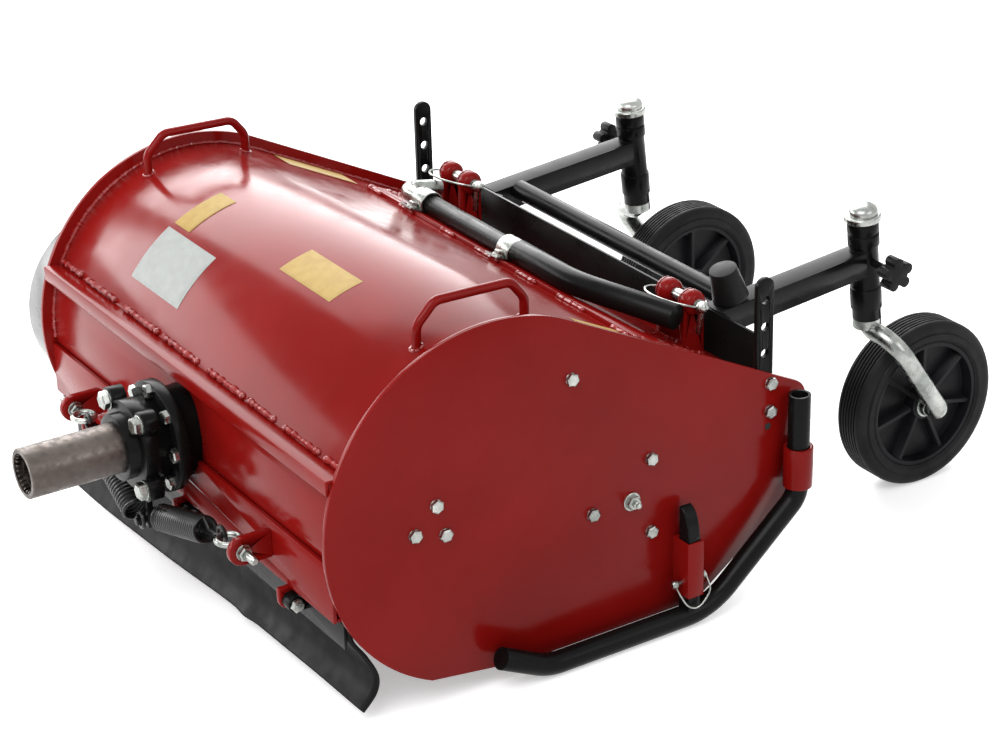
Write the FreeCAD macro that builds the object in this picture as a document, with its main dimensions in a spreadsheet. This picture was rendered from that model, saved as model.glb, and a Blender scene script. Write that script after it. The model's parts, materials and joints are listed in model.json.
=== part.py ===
"""Flail mulcher for a walk-behind tractor, as a parametric assembly.

The frame: +X is the machine's right, +Y is ahead (from the hitch towards the castor wheels), +Z is up.
The origin is on the hitch spigot's axis, at the shoulder where a tractor's socket seats.
Most places are worked out from the rotor's axis, which `at` turns into this frame.
"""
import FreeCAD, Part
import math
import os
import re

import Sketcher
from FreeCAD import Placement, Rotation, Vector

# name, value in mm or degrees, meaning
SIZES = [
    ("rotor_drop", 45, "rotor axis below the hitch axis"),
    ("rotor_height", 147, "rotor axis above the ground"),
    ("seat_gap", 0.3, "gap where curved or moving faces meet"),
    ("running_gap", 0.05, "radial gap of a shaft in its bore"),
    ("moving_gap", 5, "gap between pieces that pass each other"),
    ("panel_standoff", 12.7, "hitch flange's disc to the rear panel"),
    # housing
    ("housing_width", 604, "between the side plates"),
    ("plate_thickness", 5, "side plate"),
    ("rim_radius", 180, "side plate's round back"),
    ("rim_centre_back", 150, "centre of the round back, behind the rotor axis"),
    ("rim_centre_up", 45, "centre of the round back, above the rotor axis"),
    ("rim_end_angle", 65, "where the round back ends, below level"),
    ("top_slope", 26.5, "fall of the top towards the front"),
    ("skirt_drop", 133, "side plate's lower edge below the rotor axis"),
    ("skirt_front", 78, "front end of the lower edge"),
    ("knee_ahead", 187, "side plate's knee, where its front edge turns down and back"),
    ("knee_drop", 55, "side plate's knee below the rotor axis"),
    ("nose_ahead", 212, "side plate's front corner"),
    ("skirt_rear", 120, "rear end of the level lower edge"),
    ("corner_radius", 20, "side plate's front corner"),
    ("shell_inset", 12, "rim that the side plates stand proud of the shell"),
    ("shell_thickness", 3, "shell sheet"),
    ("shell_front", 165, "front edge of the shell"),
    ("shell_tail_up", 22, "rear edge of the shell, above the rotor axis"),
    ("angle_up", 115, "top of the rear angle bar"),
    ("angle_depth", 20, "rear angle bar, level leg behind the shell"),
    ("angle_drop", 15, "rear angle bar, upright leg"),
    ("angle_thickness", 4, "rear angle bar"),
    ("panel_top", 28, "rear panel, upper edge"),
    ("panel_drop", 28, "rear panel, lower edge below the rotor axis"),
    ("panel_thickness", 4, "rear panel"),
    ("baffle_thickness", 3, "sheet behind the rotor"),
    ("baffle_foot", 1, "baffle's foot above the rear panel's lower edge"),
    ("baffle_end_angle", 25, "where the baffle leaves the rotor, below level"),
    ("beam_rear", 40, "front beam, rear edge"),
    ("beam_front", 114, "front beam, front edge"),
    ("beam_thickness", 4, "front beam"),
    ("beam_length", 500, "front beam"),
    ("guard_inset", 17, "front guard's ends inside the side plates"),
    ("guard_top", 122, "front guard, upper edge"),
    ("guard_drop", 45, "front guard, lower edge below the rotor axis"),
    ("guard_thickness", 3, "front guard"),
    # rotor
    ("rotor_tube_radius", 35, "rotor tube"),
    ("rotor_end_gap", 5, "rotor tube to each bearing"),
    ("rotor_shaft_radius", 15, "rotor's stub shafts"),
    ("rotor_shaft_reach", 8, "left stub shaft outside the side plate"),
    ("flail_tip_radius", 124, "swept radius of the flails"),
    ("flail_width", 44, "one hammer flail"),
    ("flail_thickness", 9, "one hammer flail"),
    ("flail_root_radius", 52, "hammer's inner edge"),
    ("flail_rows", 4, "rows round the rotor"),
    ("flails_per_row", 6, "flails in a row"),
    ("flail_lug_width", 16, "lug that carries a flail"),
    ("flail_lug_depth", 26, "lug that carries a flail"),
    ("flail_lug_overlap", 14, "lug over the hammer's root"),
    ("flail_root_width", 20, "hammer's inner edge"),
    ("flail_flare", 23, "hammer's full-width end"),
    ("bearing_radius", 54, "bearing housing"),
    ("bearing_length", 16, "bearing housing"),
    # drive
    ("gearbox_width", 110, "gearbox"),
    ("gearbox_length", 130, "gearbox"),
    ("gearbox_height", 110, "gearbox"),
    ("gearbox_back", 285, "gearbox's rear face behind the rotor axis"),
    ("cover_depth", 45, "belt cover"),
    ("cover_thickness", 2.5, "belt cover sheet"),
    ("cover_rear_radius", 105, "belt cover round the driving pulley"),
    ("cover_front_radius", 44, "belt cover round the rotor pulley"),
    ("pulley_back", 220, "driving pulley behind the rotor axis"),
    ("pulley_up", 43, "driving pulley above the rotor axis"),
    # hitch
    ("spigot_radius", 25, "hitch spigot"),
    ("spigot_seat_radius", 24, "spigot where it sits in the collar"),
    ("spigot_bore_radius", 20, "hitch spigot, inside"),
    ("spigot_length", 95, "spigot behind the shoulder"),
    ("socket_bore_radius", 13.5, "drive socket between its splines"),
    ("socket_recess", 7, "drive socket inside the spigot's mouth"),
    ("socket_length", 80, "drive socket's bore"),
    ("spline_radius", 16.5, "bottom of the drive socket's grooves"),
    ("spline_width", 3.2, "drive socket's grooves"),
    ("spline_lap", 2, "how far the cutters of the grooves start inside the bore"),
    ("spline_count", 6, "grooves of the drive socket"),
    ("collar_hub_radius", 33, "collar's nose"),
    ("collar_hub_length", 12, "collar's nose"),
    ("collar_radius", 44, "collar's plate"),
    ("collar_length", 15, "collar's plate"),
    ("collar_neck_radius", 42, "collar between its plate and the flange"),
    ("collar_neck_length", 13.7, "collar between its plate and the flange"),
    ("collar_bolt_radius", 49, "collar's bolt circle"),
    ("collar_lobe_radius", 12, "collar's lobes"),
    ("collar_lobes", 4, "collar's lobes"),
    ("journal_radius", 30, "collar's journal in the flange"),
    ("journal_length", 18, "collar's journal in the flange"),
    ("flange_radius", 56, "hitch flange"),
    ("flange_length", 12, "hitch flange"),
    ("flange_hub_radius", 45, "flange's hub through the shell"),
    ("hook_drop", 85, "spring pin below the hitch axis"),
    ("hook_pin_radius", 4, "spring pin"),
    ("hook_pin_reach", 11, "spring pin on each side of the arm"),
    ("hook_width", 10, "spring hook's arm"),
    ("hook_thickness", 6, "spring hook's arm"),
    ("hook_inset", 2, "spring hook's arm, ahead of the collar's plate, seen from behind"),
    # springs
    ("spring_radius", 14, "centring spring"),
    ("spring_seat", 5, "spring's end loop beside the hook's arm"),
    ("spring_hook", 24, "straight hook at a spring's outer end"),
    ("spring_wire", 4, "centring spring's wire"),
    ("spring_pitch", 5, "centring spring's coils"),
    ("spring_loop_radius", 8, "spring's end loop"),
    ("spring_eye_side", 160, "eyebolt's ring, from the middle"),
    ("spring_eye_back", 352, "eyebolt's ring behind the rotor axis"),
    ("spring_eye_up", 5, "eyebolt's ring above the rotor axis"),
    ("eye_radius", 11, "eyebolt's ring"),
    ("eye_wire", 3, "eyebolt's ring, radius of its round"),
    ("eye_shank_radius", 4, "eyebolt's shank"),
    ("eye_shank_length", 40, "eyebolt's shank"),
    ("spring_lug_side", 186, "spring lug, from the middle"),
    ("spring_lug_radius", 14, "spring lug"),
    ("spring_lug_thickness", 8, "spring lug"),
    # rear flap
    ("flap_side_gap", 6, "flap to each side plate"),
    ("flap_pivot_back", 323, "flap's pins behind the rotor axis"),
    ("flap_pivot_drop", 40, "flap's pins below the rotor axis"),
    ("flap_pin_radius", 4, "flap's pins"),
    ("flap_pin_head", 5, "flap's pins beyond the lug"),
    ("flap_pin_end", 7, "flap's pins beyond the knuckle"),
    ("flap_lug_radius", 10, "flap's lugs"),
    ("flap_lug_thickness", 6, "flap's lugs"),
    ("flap_lug_spacing", 215, "between the flap's lugs"),
    ("knuckle_radius", 8, "flap strip's knuckles"),
    ("knuckle_length", 14, "flap strip's knuckles"),
    ("knuckle_leaf", 4, "leaf that joins the knuckle to the strip"),
    ("strip_ahead", 15, "flap strip ahead of its pins"),
    ("strip_rise", 4, "flap strip's upper edge above its pins"),
    ("strip_height", 26, "flap strip"),
    ("strip_thickness", 3, "flap strip"),
    ("rubber_thickness", 4, "rubber sheet"),
    ("rubber_belly", 26, "rubber sheet's forward bow at the right"),
    ("rubber_left_belly", 6, "rubber sheet's forward bow at the left"),
    ("rubber_left_sweep", 18, "how far the sheet's left end hangs back"),
    ("rubber_ground_gap", 14, "rubber sheet's edge above the ground"),
    # handles and fittings on top
    ("handle_rod", 9, "carrying handle's rod"),
    ("handle_inset", 30, "carrying handle inside the side plate"),
    ("handle_bend", 14, "carrying handle's bends"),
    ("handle_corner", 20, "carrying handle's sloping corners"),
    ("handle_rear", 208, "handle's rear foot behind the rotor axis"),
    ("handle_front", 94, "handle's front foot behind the rotor axis"),
    ("handle_top", 243, "handle's grip above the rotor axis"),
    ("lug_ahead", 132, "front lugs ahead of the rotor axis"),
    ("lug_up", 144, "front lugs' pins above the rotor axis"),
    ("lug_radius", 12.5, "front lugs"),
    ("lug_thickness", 8, "front lugs"),
    ("lug_side", 204.5, "middle of a pair of front lugs"),
    ("lug_pitch", 37, "between the lugs of a pair"),
    ("lug_pin_radius", 6, "front lugs' pins"),
    ("lug_pin_end", 8, "front lugs' pin beyond each lug"),
    ("rod_ahead", 62, "top rod ahead of the rotor axis"),
    ("rod_radius", 11, "top rod"),
    ("sleeve_radius", 13, "top rod's thicker sleeve"),
    ("sleeve_straight", 123, "sleeve's first bend, from the middle"),
    ("sleeve_end", 235, "sleeve's end, from the middle"),
    ("sleeve_swing", 43, "sleeve's end ahead of the top rod"),
    ("sleeve_fall", 8, "sleeve's end below the top rod"),
    ("sleeve_bend", 120, "sleeve's bend"),
    ("rod_overhang", 6, "top rod outside the left clamp's middle"),
    ("rod_end_reach", 44, "bent end, sideways"),
    ("rod_end_swing", 46, "bent end, forwards"),
    ("rod_end_fall", 9, "bent end, down"),
    ("rod_end_bend", 20, "bent end"),
    ("clamp_width", 22, "saddle clamps"),
    ("clamp_thickness", 3, "saddle clamps"),
    ("clamp_left", 160, "left clamp, from the middle"),
    ("clamp_right", 10, "right clamp, from the middle"),
    ("bar_width", 20, "height bars"),
    ("bar_thickness", 6, "height bars"),
    ("left_bar_top", 203.6, "left height bar's upper end"),
    ("left_bar_ahead", 142, "left height bar ahead of the rotor axis"),
    ("right_bar_top", 188, "right height bar's upper end"),
    ("right_bar_ahead", 162, "right height bar ahead of the rotor axis"),
    ("bar_bottom", 36, "height bars' lower end"),
    ("bar_holes", 3, "holes in a height bar"),
    ("bar_hole_radius", 4.5, "height bars' holes"),
    ("bar_hole_pitch", 28, "height bars' holes"),
    ("bar_top_hole", 23, "first hole below the bar's end"),
    # wheel frame
    ("frame_pitch", 5.5, "nose-up set of the wheel frame"),
    ("frame_ahead", 171, "wheel frame's root ahead of the rotor axis"),
    ("frame_up", 108, "wheel frame's root above the rotor axis"),
    ("arm_size", 27, "square tube of the arms"),
    ("arm_side", 206, "arms and posts, from the middle"),
    ("post_ahead", 196, "posts ahead of the frame's root"),
    ("foot_plate", 52, "arms' foot plates"),
    ("foot_plate_thickness", 5, "arms' foot plates"),
    ("cross_tube_radius", 11, "cross tube"),
    ("cross_tube_ahead", 32, "cross tube ahead of the frame's root"),
    ("cross_tube_up", 6, "cross tube above the arms' middle"),
    ("stub_radius", 18.5, "rubber-capped stub's foot"),
    ("stub_top_radius", 14, "rubber-capped stub's top"),
    ("stub_length", 34, "rubber-capped stub"),
    ("stub_ahead", 24, "stub ahead of the frame's root"),
    ("stub_lean", 12, "backward lean of the stub"),
    ("sleeve_outer_radius", 15, "post sleeve"),
    ("spacer_radius", 16.5, "spacer rings on the post sleeve"),
    ("spacer_height", 12, "one spacer ring"),
    ("spacer_drop", 54, "lower spacer's foot below the arm"),
    ("sleeve_top", 44, "post sleeve above the arm"),
    ("sleeve_drop", 66, "post sleeve below the arm"),
    ("knob_radius", 18, "star knobs"),
    ("knob_length", 15, "star knobs"),
    ("knob_screw_radius", 4, "star knobs' screws"),
    ("knob_side", 246, "star knobs' inner face, from the middle"),
    # castors
    ("stem_radius", 10, "castor stem"),
    ("stem_cap_radius", 19, "castor cap"),
    ("stem_cap_rim", 7, "castor cap's round rim"),
    ("cap_boss_radius", 11, "boss on the castor cap"),
    ("cap_boss_height", 13, "boss on the castor cap, up to its dome"),
    ("cap_dome_radius", 17, "dome of the boss"),
    ("stem_collar_radius", 15, "castor collar under the sleeve"),
    ("stem_collar_height", 10, "castor collar under the sleeve"),
    ("leg_radius", 10, "castor's bent leg"),
    ("leg_offset", 43.5, "castor's leg outside the stem"),
    ("leg_drop", 4, "castor's leg below its collar"),
    ("leg_bend", 13, "castor's leg at the stem and at the hub"),
    ("leg_sweep", 29, "large bend of the castor's leg"),
    ("wheel_ahead", 444, "wheel axle ahead of the rotor axis"),
    ("wheel_radius", 93, "castor wheel"),
    ("wheel_width", 42, "castor wheel"),
    ("tyre_inner_radius", 71, "tyre's seat on the rim"),
    ("tyre_shoulder", 6, "tyre's round shoulder"),
    ("rim_width", 36, "plastic rim"),
    ("rim_wall", 5, "plastic rim's band"),
    ("rim_web", 5, "plastic rim's web"),
    ("rim_vanes", 7, "plastic rim's vanes"),
    ("vane_thickness", 4, "plastic rim's vanes"),
    ("vane_inset", 4, "vanes inside the rim's edges"),
    ("hub_radius", 17, "plastic rim's hub"),
    ("axle_radius", 8, "wheel axle"),
    # skids
    ("skid_radius", 11, "skid tube"),
    ("skid_bore_radius", 8.5, "skid tube, inside"),
    ("skid_bore_depth", 30, "open upper end of the skid tube"),
    ("skid_bend", 26, "skid tube's bend under the front guide"),
    ("skid_sweep", 80, "skid tube's large bend down to the level run"),
    ("skid_tail_bend", 60, "skid tube's bend at the rear"),
    ("skid_offset", 15, "skid tube's middle outside the side plate"),
    ("skid_post_ahead", 190, "skid's front upright"),
    ("skid_post_top", 66, "top of the front upright"),
    ("skid_rear", 160, "rear end behind the rotor axis"),
    ("skid_rear_rise", 26, "rise of the rear end"),
    ("skid_level_rear", 108, "rear end of the level run"),
    ("skid_level_front", 82, "front end of the level run"),
    ("skid_bend_drop", 44, "front bend below the rotor axis"),
    ("guide_height", 43, "round guide"),
    ("guide_top", 10, "round guide's top"),
    ("guide_wall", 3.8, "round guide's wall"),
    ("skid_bar_ahead", 58, "skid's middle upright"),
    ("skid_bar_width", 13.5, "skid's middle upright, fore and aft"),
    ("skid_bar_depth", 16, "skid's middle upright, out from the side plate"),
    ("skid_bar_slant", 31, "fall of the middle upright's slanting top"),
    ("skid_bar_crown", 2, "roundness of the slanting top"),
    ("skid_bar_drop", 18, "top of the middle upright, below the rotor axis"),
    ("box_guide_wall", 2.6, "middle guide's wall"),
    ("box_guide_height", 60, "middle guide"),
    ("box_guide_drop", 52, "middle guide's top, below the rotor axis"),
]

doc = FreeCAD.newDocument("FlailMulcher")
sheet = doc.addObject("Spreadsheet::Sheet", "Sizes")
for row, (alias, number, meaning) in enumerate(SIZES, start=1):
    sheet.set("A%d" % row, alias)
    sheet.set("B%d" % row, str(number))
    sheet.set("C%d" % row, meaning)
    sheet.setAlias("B%d" % row, alias)
doc.recompute()

ALIASES = {alias for alias, number, meaning in SIZES}
# Formulas used in more than one place.
SHARED = {
    "rotor_ahead": "(flange_rear + flange_length + panel_standoff + panel_seat + panel_thickness)",
    "guard_width": "(housing_width - 2 * guard_inset)",
    "handle_side": "(inner_side - handle_inset)",
    "inner_side": "(housing_width / 2)",
    "outer_side": "(housing_width / 2 + plate_thickness)",
    "shell_radius": "(rim_radius - shell_inset)",
    "shell_inner": "(rim_radius - shell_inset - shell_thickness)",
    "baffle_radius": "(shell_inner - rim_centre_back * sin(top_slope) + rim_centre_up * cos(top_slope)"
                     " - seat_gap)",
    "angle_seat": "(rim_centre_back + sqrt(pow(shell_radius; 2) - pow(angle_up - rim_centre_up; 2)))",
    "panel_seat": "(rim_centre_back + shell_radius + seat_gap)",
    "flap_width": "(housing_width - 2 * flap_side_gap)",
    "skid_side": "(outer_side + skid_offset)",
    "skid_level": "(skid_radius - rotor_height)",
    "wheel_up": "(wheel_radius - rotor_height)",
    "rod_up": "(shell_line_start - rod_ahead * tan(top_slope) + beam_thickness / cos(top_slope)"
              " + rod_radius / cos(top_slope) + seat_gap)",
    "sleeve_up": "(rod_up + (sleeve_radius - rod_radius) / cos(top_slope))",
    "shell_line_start": "(rim_centre_up + shell_radius * cos(top_slope)"
                        " + (shell_radius * sin(top_slope) - rim_centre_back) * tan(top_slope))",
    "collar_front": "(collar_hub_length + collar_length + collar_neck_length)",
    "hook_ahead": "(collar_hub_length + collar_length - hook_inset)",
    "flange_rear": "(collar_front + seat_gap)",
}


def formula(text):
    """Write out shared formulas and point every size at its cell."""
    def put(match):
        word = match.group()
        if word in SHARED:
            return formula(SHARED[word])
        return "Sizes." + word if word in ALIASES else word
    return re.sub(r"[a-z][a-z_]*", put, str(text))


def value(text):
    return float(sheet.evalExpression(formula(text)))


def bind(thing, **formulas):
    for name, text in formulas.items():
        thing.setExpression(name, formula(text))
    return thing


AXES = {"x": (1, 0, 0), "y": (0, 1, 0), "z": (0, 0, 1)}


def seat(thing, spot=("0", "0", "0"), axis="z", angle="0"):
    """Bind a placement: a spot, and a turn about one axis."""
    place = "create(<<placement>>; create(<<vector>>; {}; {}; {}); create(<<rotation>>; {}; {}))"
    turn = "create(<<vector>>; {}; {}; {})".format(*AXES[axis])
    thing.setExpression("Placement", place.format(*(formula(part) for part in spot), turn, formula(angle)))
    return thing


def at(x, y, z):
    """A spot given from the rotor's axis."""
    return (str(x), "rotor_ahead + (%s)" % y, "(%s) - rotor_drop" % z)


FRAME_ROOT = at("0", "frame_ahead", "frame_up")


def spot(x, y, z):
    """The same as a vector of today's numbers, for shapes made in code."""
    return Vector(*(value(part) for part in at(x, y, z)))


def on_frame(x, y, z):
    """A vector given in the pitched wheel frame."""
    root = Placement(Vector(*(value(part) for part in FRAME_ROOT)),
                     Rotation(Vector(1, 0, 0), value("frame_pitch")))
    return root.multVec(Vector(value(x), value(y), value(z)))


# ---------------------------------------------------------------- building blocks

def box(name, x, y, z, length, width, height):
    """A block given by the formulas of its low corner and its sides."""
    piece = bind(doc.addObject("Part::Box", name), Length=length, Width=width, Height=height)
    return seat(piece, (x, y, z))


TURN_TO = {"x": ("y", "90"), "y": ("x", "-90"), "z": ("z", "0")}


def rod(name, axis, start, radius, length):
    """A cylinder along an axis."""
    piece = bind(doc.addObject("Part::Cylinder", name), Radius=radius, Height=length)
    return seat(piece, start, *TURN_TO[axis])


def ring(name, axis, centre, radius, wire):
    piece = bind(doc.addObject("Part::Torus", name), Radius1=radius, Radius2=wire)
    return seat(piece, centre, *TURN_TO[axis])


def fuse(name, pieces):
    whole = doc.addObject("Part::MultiFuse", name)
    whole.Shapes = pieces
    whole.Refine = True
    return whole


def cut(name, base, tool):
    whole = doc.addObject("Part::Cut", name)
    whole.Base, whole.Tool = base, tool
    return whole


def group(name, pieces):
    """Like pieces of one node that don't touch each other."""
    whole = doc.addObject("Part::Compound", name)
    whole.Links = pieces
    return whole


def feature(name, shape, spot_at=None):
    piece = doc.addObject("Part::Feature", name)
    piece.Shape = shape
    piece.Placement = spot_at or Placement()
    return piece


def new_body(name, spot_at=("0", "0", "0"), axis="z", angle="0"):
    return seat(doc.addObject("PartDesign::Body", name), spot_at, axis, angle)


def new_sketch(body, plane):
    sketch = body.newObject("Sketcher::SketchObject", body.Name + "_sketch")
    origin_plane = [item for item in body.Origin.OriginFeatures if item.Role == plane][0]
    sketch.AttachmentSupport = [(origin_plane, "")]
    sketch.MapMode = "FlatFace"
    return sketch


def fix_point(sketch, geometry, end, x, y):
    """Tie a point of a sketch to its two formulas."""
    for kind, text in (("DistanceX", x), ("DistanceY", y)):
        index = sketch.addConstraint(Sketcher.Constraint(kind, -1, 1, geometry, end, value(text)))
        sketch.setExpression("Constraints[%d]" % index, formula(text))


def draw_circle(sketch, x, y, radius):
    circle = Part.Circle(Vector(value(x), value(y), 0), Vector(0, 0, 1), value(radius))
    geometry = sketch.addGeometry(circle, False)
    index = sketch.addConstraint(Sketcher.Constraint("Radius", geometry, value(radius)))
    sketch.setExpression("Constraints[%d]" % index, formula(radius))
    fix_point(sketch, geometry, 3, x, y)


def draw_outline(sketch, corners):
    """A closed outline. A corner is (x, y), or (x, y, radius, turn) where an arc leads to it:
    turn is 1 to the left or -1 to the right, and 2 or -2 for an arc of more than half a circle."""
    points = [Vector(value(corner[0]), value(corner[1]), 0) for corner in corners]
    count = len(corners)
    for index, corner in enumerate(corners):
        start, end = points[index - 1], points[index]
        if len(corner) == 2:
            sketch.addGeometry(Part.LineSegment(start, end), False)
            continue
        radius, turn = value(corner[2]), corner[3]
        chord = end - start
        across = Vector(-chord.y, chord.x, 0).normalize() * (1 if turn > 0 else -1)
        rise = math.sqrt(max(radius ** 2 - (chord.Length / 2) ** 2, 0))
        centre = (start + end) * 0.5 + across * (rise if abs(turn) == 1 else -rise)
        first, last = (start, end) if turn > 0 else (end, start)
        low = math.atan2(first.y - centre.y, first.x - centre.x)
        high = math.atan2(last.y - centre.y, last.x - centre.x)
        circle = Part.Circle(centre, Vector(0, 0, 1), radius)
        sketch.addGeometry(Part.ArcOfCircle(circle, low, high), False)

    def ends(index):
        """Which ends of an edge are its start and its finish along the outline."""
        corner = corners[index]
        return (2, 1) if len(corner) == 4 and corner[3] < 0 else (1, 2)

    for index in range(count):
        after = (index + 1) % count
        sketch.addConstraint(Sketcher.Constraint("Coincident", index, ends(index)[1],
                                                 after, ends(after)[0]))
        fix_point(sketch, index, ends(index)[1], corners[index][0], corners[index][1])
        if len(corners[index]) == 4:
            text = corners[index][2]
            place = sketch.addConstraint(Sketcher.Constraint("Radius", index, value(text)))
            sketch.setExpression("Constraints[%d]" % place, formula(text))


def pad(body, sketch, length):
    solid = body.newObject("PartDesign::Pad", body.Name + "_pad")
    solid.Profile = sketch
    bind(solid, Length=length)
    body.Tip = solid
    sketch.Visibility = False
    return solid


def turned(name, plane, axis, corners, spot_at, turn_axis="z", angle="0"):
    """A body of revolution from one closed outline."""
    body = new_body(name, spot_at, turn_axis, angle)
    sketch = new_sketch(body, plane)
    draw_outline(sketch, corners)
    solid = body.newObject("PartDesign::Revolution", name + "_revolution")
    solid.Profile = sketch
    solid.ReferenceAxis = (sketch, [axis])
    solid.Angle = 360
    body.Tip = solid
    return body


def extruded(name, corners, x_low, width, holes=()):
    """A sheet or plate drawn in the YZ plane from the rotor's axis, and padded along +X."""
    body = new_body(name, at(x_low, "0", "0"))
    sketch = new_sketch(body, "YZ_Plane")
    draw_outline(sketch, corners)
    for y, z, radius in holes:
        draw_circle(sketch, y, z, radius)
    pad(body, sketch, width)
    return body


def bent_tube(points, radius, *bends):
    """A round bar along straight runs joined by arcs: one bend radius for all, or one for each corner."""
    edges, last = [], points[0]
    if len(bends) == 1:
        bends = bends * (len(points) - 2)
    for before, corner, after, bend in zip(points, points[1:], points[2:], bends):
        into, out = (before - corner).normalize(), (after - corner).normalize()
        half = into.getAngle(out) / 2
        reach = bend / math.tan(half)
        start, end = corner + into * reach, corner + out * reach
        middle_way = (into + out).normalize()
        middle = corner + middle_way * (bend / math.sin(half) - bend)
        edges.append(Part.LineSegment(last, start).toShape())
        edges.append(Part.Arc(start, middle, end).toShape())
        last = end
    edges.append(Part.LineSegment(last, points[-1]).toShape())
    path = Part.Wire(edges)
    heading = (points[1] - points[0]).normalize()

    section = Part.Wire(Part.makeCircle(radius, points[0], heading))
    return path.makePipeShell([section], True, False)


def on_slope(y):
    """Height of the shell's outer face on its sloping front."""
    return "shell_line_start - (%s) * tan(top_slope)" % y


# ---------------------------------------------------------------- housing

def side_plate(name, x_low, shaft_hole):
    rim_start = ("-rim_centre_back + rim_radius * sin(top_slope)",
                 "rim_centre_up + rim_radius * cos(top_slope)")
    rim_end = ("-rim_centre_back - rim_radius * cos(rim_end_angle)",
               "rim_centre_up - rim_radius * sin(rim_end_angle)")
    # Where the sloping top meets the front edge.
    top_at_axis = "(rim_centre_up + rim_radius * cos(top_slope)" \
                  " + (rim_radius * sin(top_slope) - rim_centre_back) * tan(top_slope))"
    corner = ("nose_ahead", "%s - nose_ahead * tan(top_slope)" % top_at_axis)
    outline = [
        rim_start,
        rim_end + ("rim_radius", 2),
        ("-skirt_rear", "-skirt_drop"),
        ("skirt_front", "-skirt_drop"),
        ("knee_ahead", "-knee_drop"),
        corner,
    ]
    plate = extruded(name, outline, x_low, "plate_thickness", shaft_hole)
    doc.recompute()
    spot_y, spot_z = value(corner[0]), value(corner[1])
    solid = plate.Tip
    for index, edge in enumerate(solid.Shape.Edges, start=1):
        middle = edge.CenterOfMass
        if math.hypot(middle.y - spot_y, middle.z - spot_z) < 0.01:
            fillet = plate.newObject("PartDesign::Fillet", name + "_corner")
            fillet.Base = (solid, ["Edge%d" % index])
            bind(fillet, Radius="corner_radius")
            plate.Tip = fillet
    return plate


def shell():
    outer, inner = "shell_radius", "shell_inner"

    def tail(radius):
        return ("-rim_centre_back - sqrt(pow(%s; 2) - pow(rim_centre_up - shell_tail_up; 2))" % radius,
                "shell_tail_up")

    def crest(radius):
        return ("-rim_centre_back + %s * sin(top_slope)" % radius,
                "rim_centre_up + %s * cos(top_slope)" % radius)

    front = ("shell_front", on_slope("shell_front"))
    front_inside = ("shell_front - shell_thickness * sin(top_slope)",
                    on_slope("shell_front") + " - shell_thickness * cos(top_slope)")
    outline = [tail(outer), crest(outer) + (outer, -1), front, front_inside, crest(inner),
               tail(inner) + (inner, 1)]
    sheet_body = extruded("shell", outline, "-inner_side", "housing_width")
    notch = "(bar_thickness + 2 * seat_gap)"
    notches = [box("shell_notch_" + word, *at(x_low, "%s_bar_ahead - bar_width / 2 - seat_gap" % word, "0"),
                   notch, "bar_width + 2 * seat_gap", word + "_bar_top")
               for word, x_low in (("left", "-inner_side"), ("right", "inner_side - " + notch))]
    return cut("shell_drilled", sheet_body, group("shell_openings", [hub_way("shell_hub_way")] + notches))


def hub_way(name):
    """The room that the hitch flange's hub needs through a sheet."""
    return rod(name, "y", ("0", "0", "0"), "flange_hub_radius + running_gap", "rotor_ahead - gearbox_back")


def rear_angle_bar():
    back = "-(angle_seat + angle_depth)"
    outline = [
        ("-(angle_seat + seat_gap)", "angle_up"),
        (back, "angle_up"),
        (back, "angle_up - angle_drop"),
        (back + " + angle_thickness", "angle_up - angle_drop"),
        (back + " + angle_thickness", "angle_up - angle_thickness"),
        ("-(angle_seat + angle_thickness / 2)", "angle_up - angle_thickness"),
    ]
    return extruded("rear_angle_bar", outline, "-inner_side", "housing_width")


def rear_panel():
    face, back = "-panel_seat", "-(panel_seat + panel_thickness)"
    outline = [(face, "panel_top"), (back, "panel_top"), (back, "-panel_drop"), (face, "-panel_drop")]
    strip = extruded("rear_panel_strip", outline, "-inner_side", "housing_width")
    return cut("rear_panel", strip, hub_way("rear_panel_hub_way"))


def inner_baffle():
    inner = "(baffle_radius - baffle_thickness)"

    def polar(radius, angle):
        return ("%s * cos(%s)" % (radius, angle), "%s * sin(%s)" % (radius, angle))

    tail = "-panel_seat + seat_gap"
    outline = [
        polar("baffle_radius", "90 - top_slope"),
        polar("baffle_radius", "177 + baffle_end_angle") + ("baffle_radius", 1),
        (tail, "baffle_thickness + baffle_foot - panel_drop"),
        (tail, "baffle_foot - panel_drop"),
        polar(inner, "180 + baffle_end_angle"),
        polar(inner, "90 - top_slope") + (inner, -1),
    ]
    return extruded("inner_baffle", outline, "-inner_side", "housing_width")


def front_beam():
    lift_y, lift_z = "beam_thickness * sin(top_slope)", "beam_thickness * cos(top_slope)"
    outline = [
        ("beam_rear", on_slope("beam_rear")),
        ("beam_front", on_slope("beam_front")),
        ("beam_front + " + lift_y, on_slope("beam_front") + " + " + lift_z),
        ("beam_rear + " + lift_y, on_slope("beam_rear") + " + " + lift_z),
    ]
    return extruded("front_beam", outline, "-beam_length / 2", "beam_length")


def front_guard():
    return box("front_guard", *at("-guard_width / 2", "shell_front", "-guard_drop"),
               "guard_width", "guard_thickness", "guard_top + guard_drop")


# ---------------------------------------------------------------- fittings on top

def carry_handle(name, side):
    x = "%d * handle_side" % side

    def foot(y):
        return "rim_centre_up + sqrt(pow(shell_radius; 2) - pow(%s + rim_centre_back; 2)) - handle_rod" % y

    points = [spot(x, "-handle_rear", foot("-handle_rear")),
              spot(x, "-handle_rear", "handle_top - handle_corner"),
              spot(x, "handle_corner - handle_rear", "handle_top"),
              spot(x, "-handle_front - 0.7 * handle_corner", "handle_top - 0.1 * handle_corner"),
              spot(x, "-handle_front", "handle_top - handle_corner"),
              spot(x, "-handle_front", foot("-handle_front"))]
    under = Part.makeCylinder(value("shell_radius + seat_gap"), value("housing_width"),
                              spot("-inner_side", "-rim_centre_back", "rim_centre_up"), Vector(1, 0, 0))
    return feature(name, bent_tube(points, value("handle_rod / 2"), value("handle_bend")).cut(under))


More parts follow.
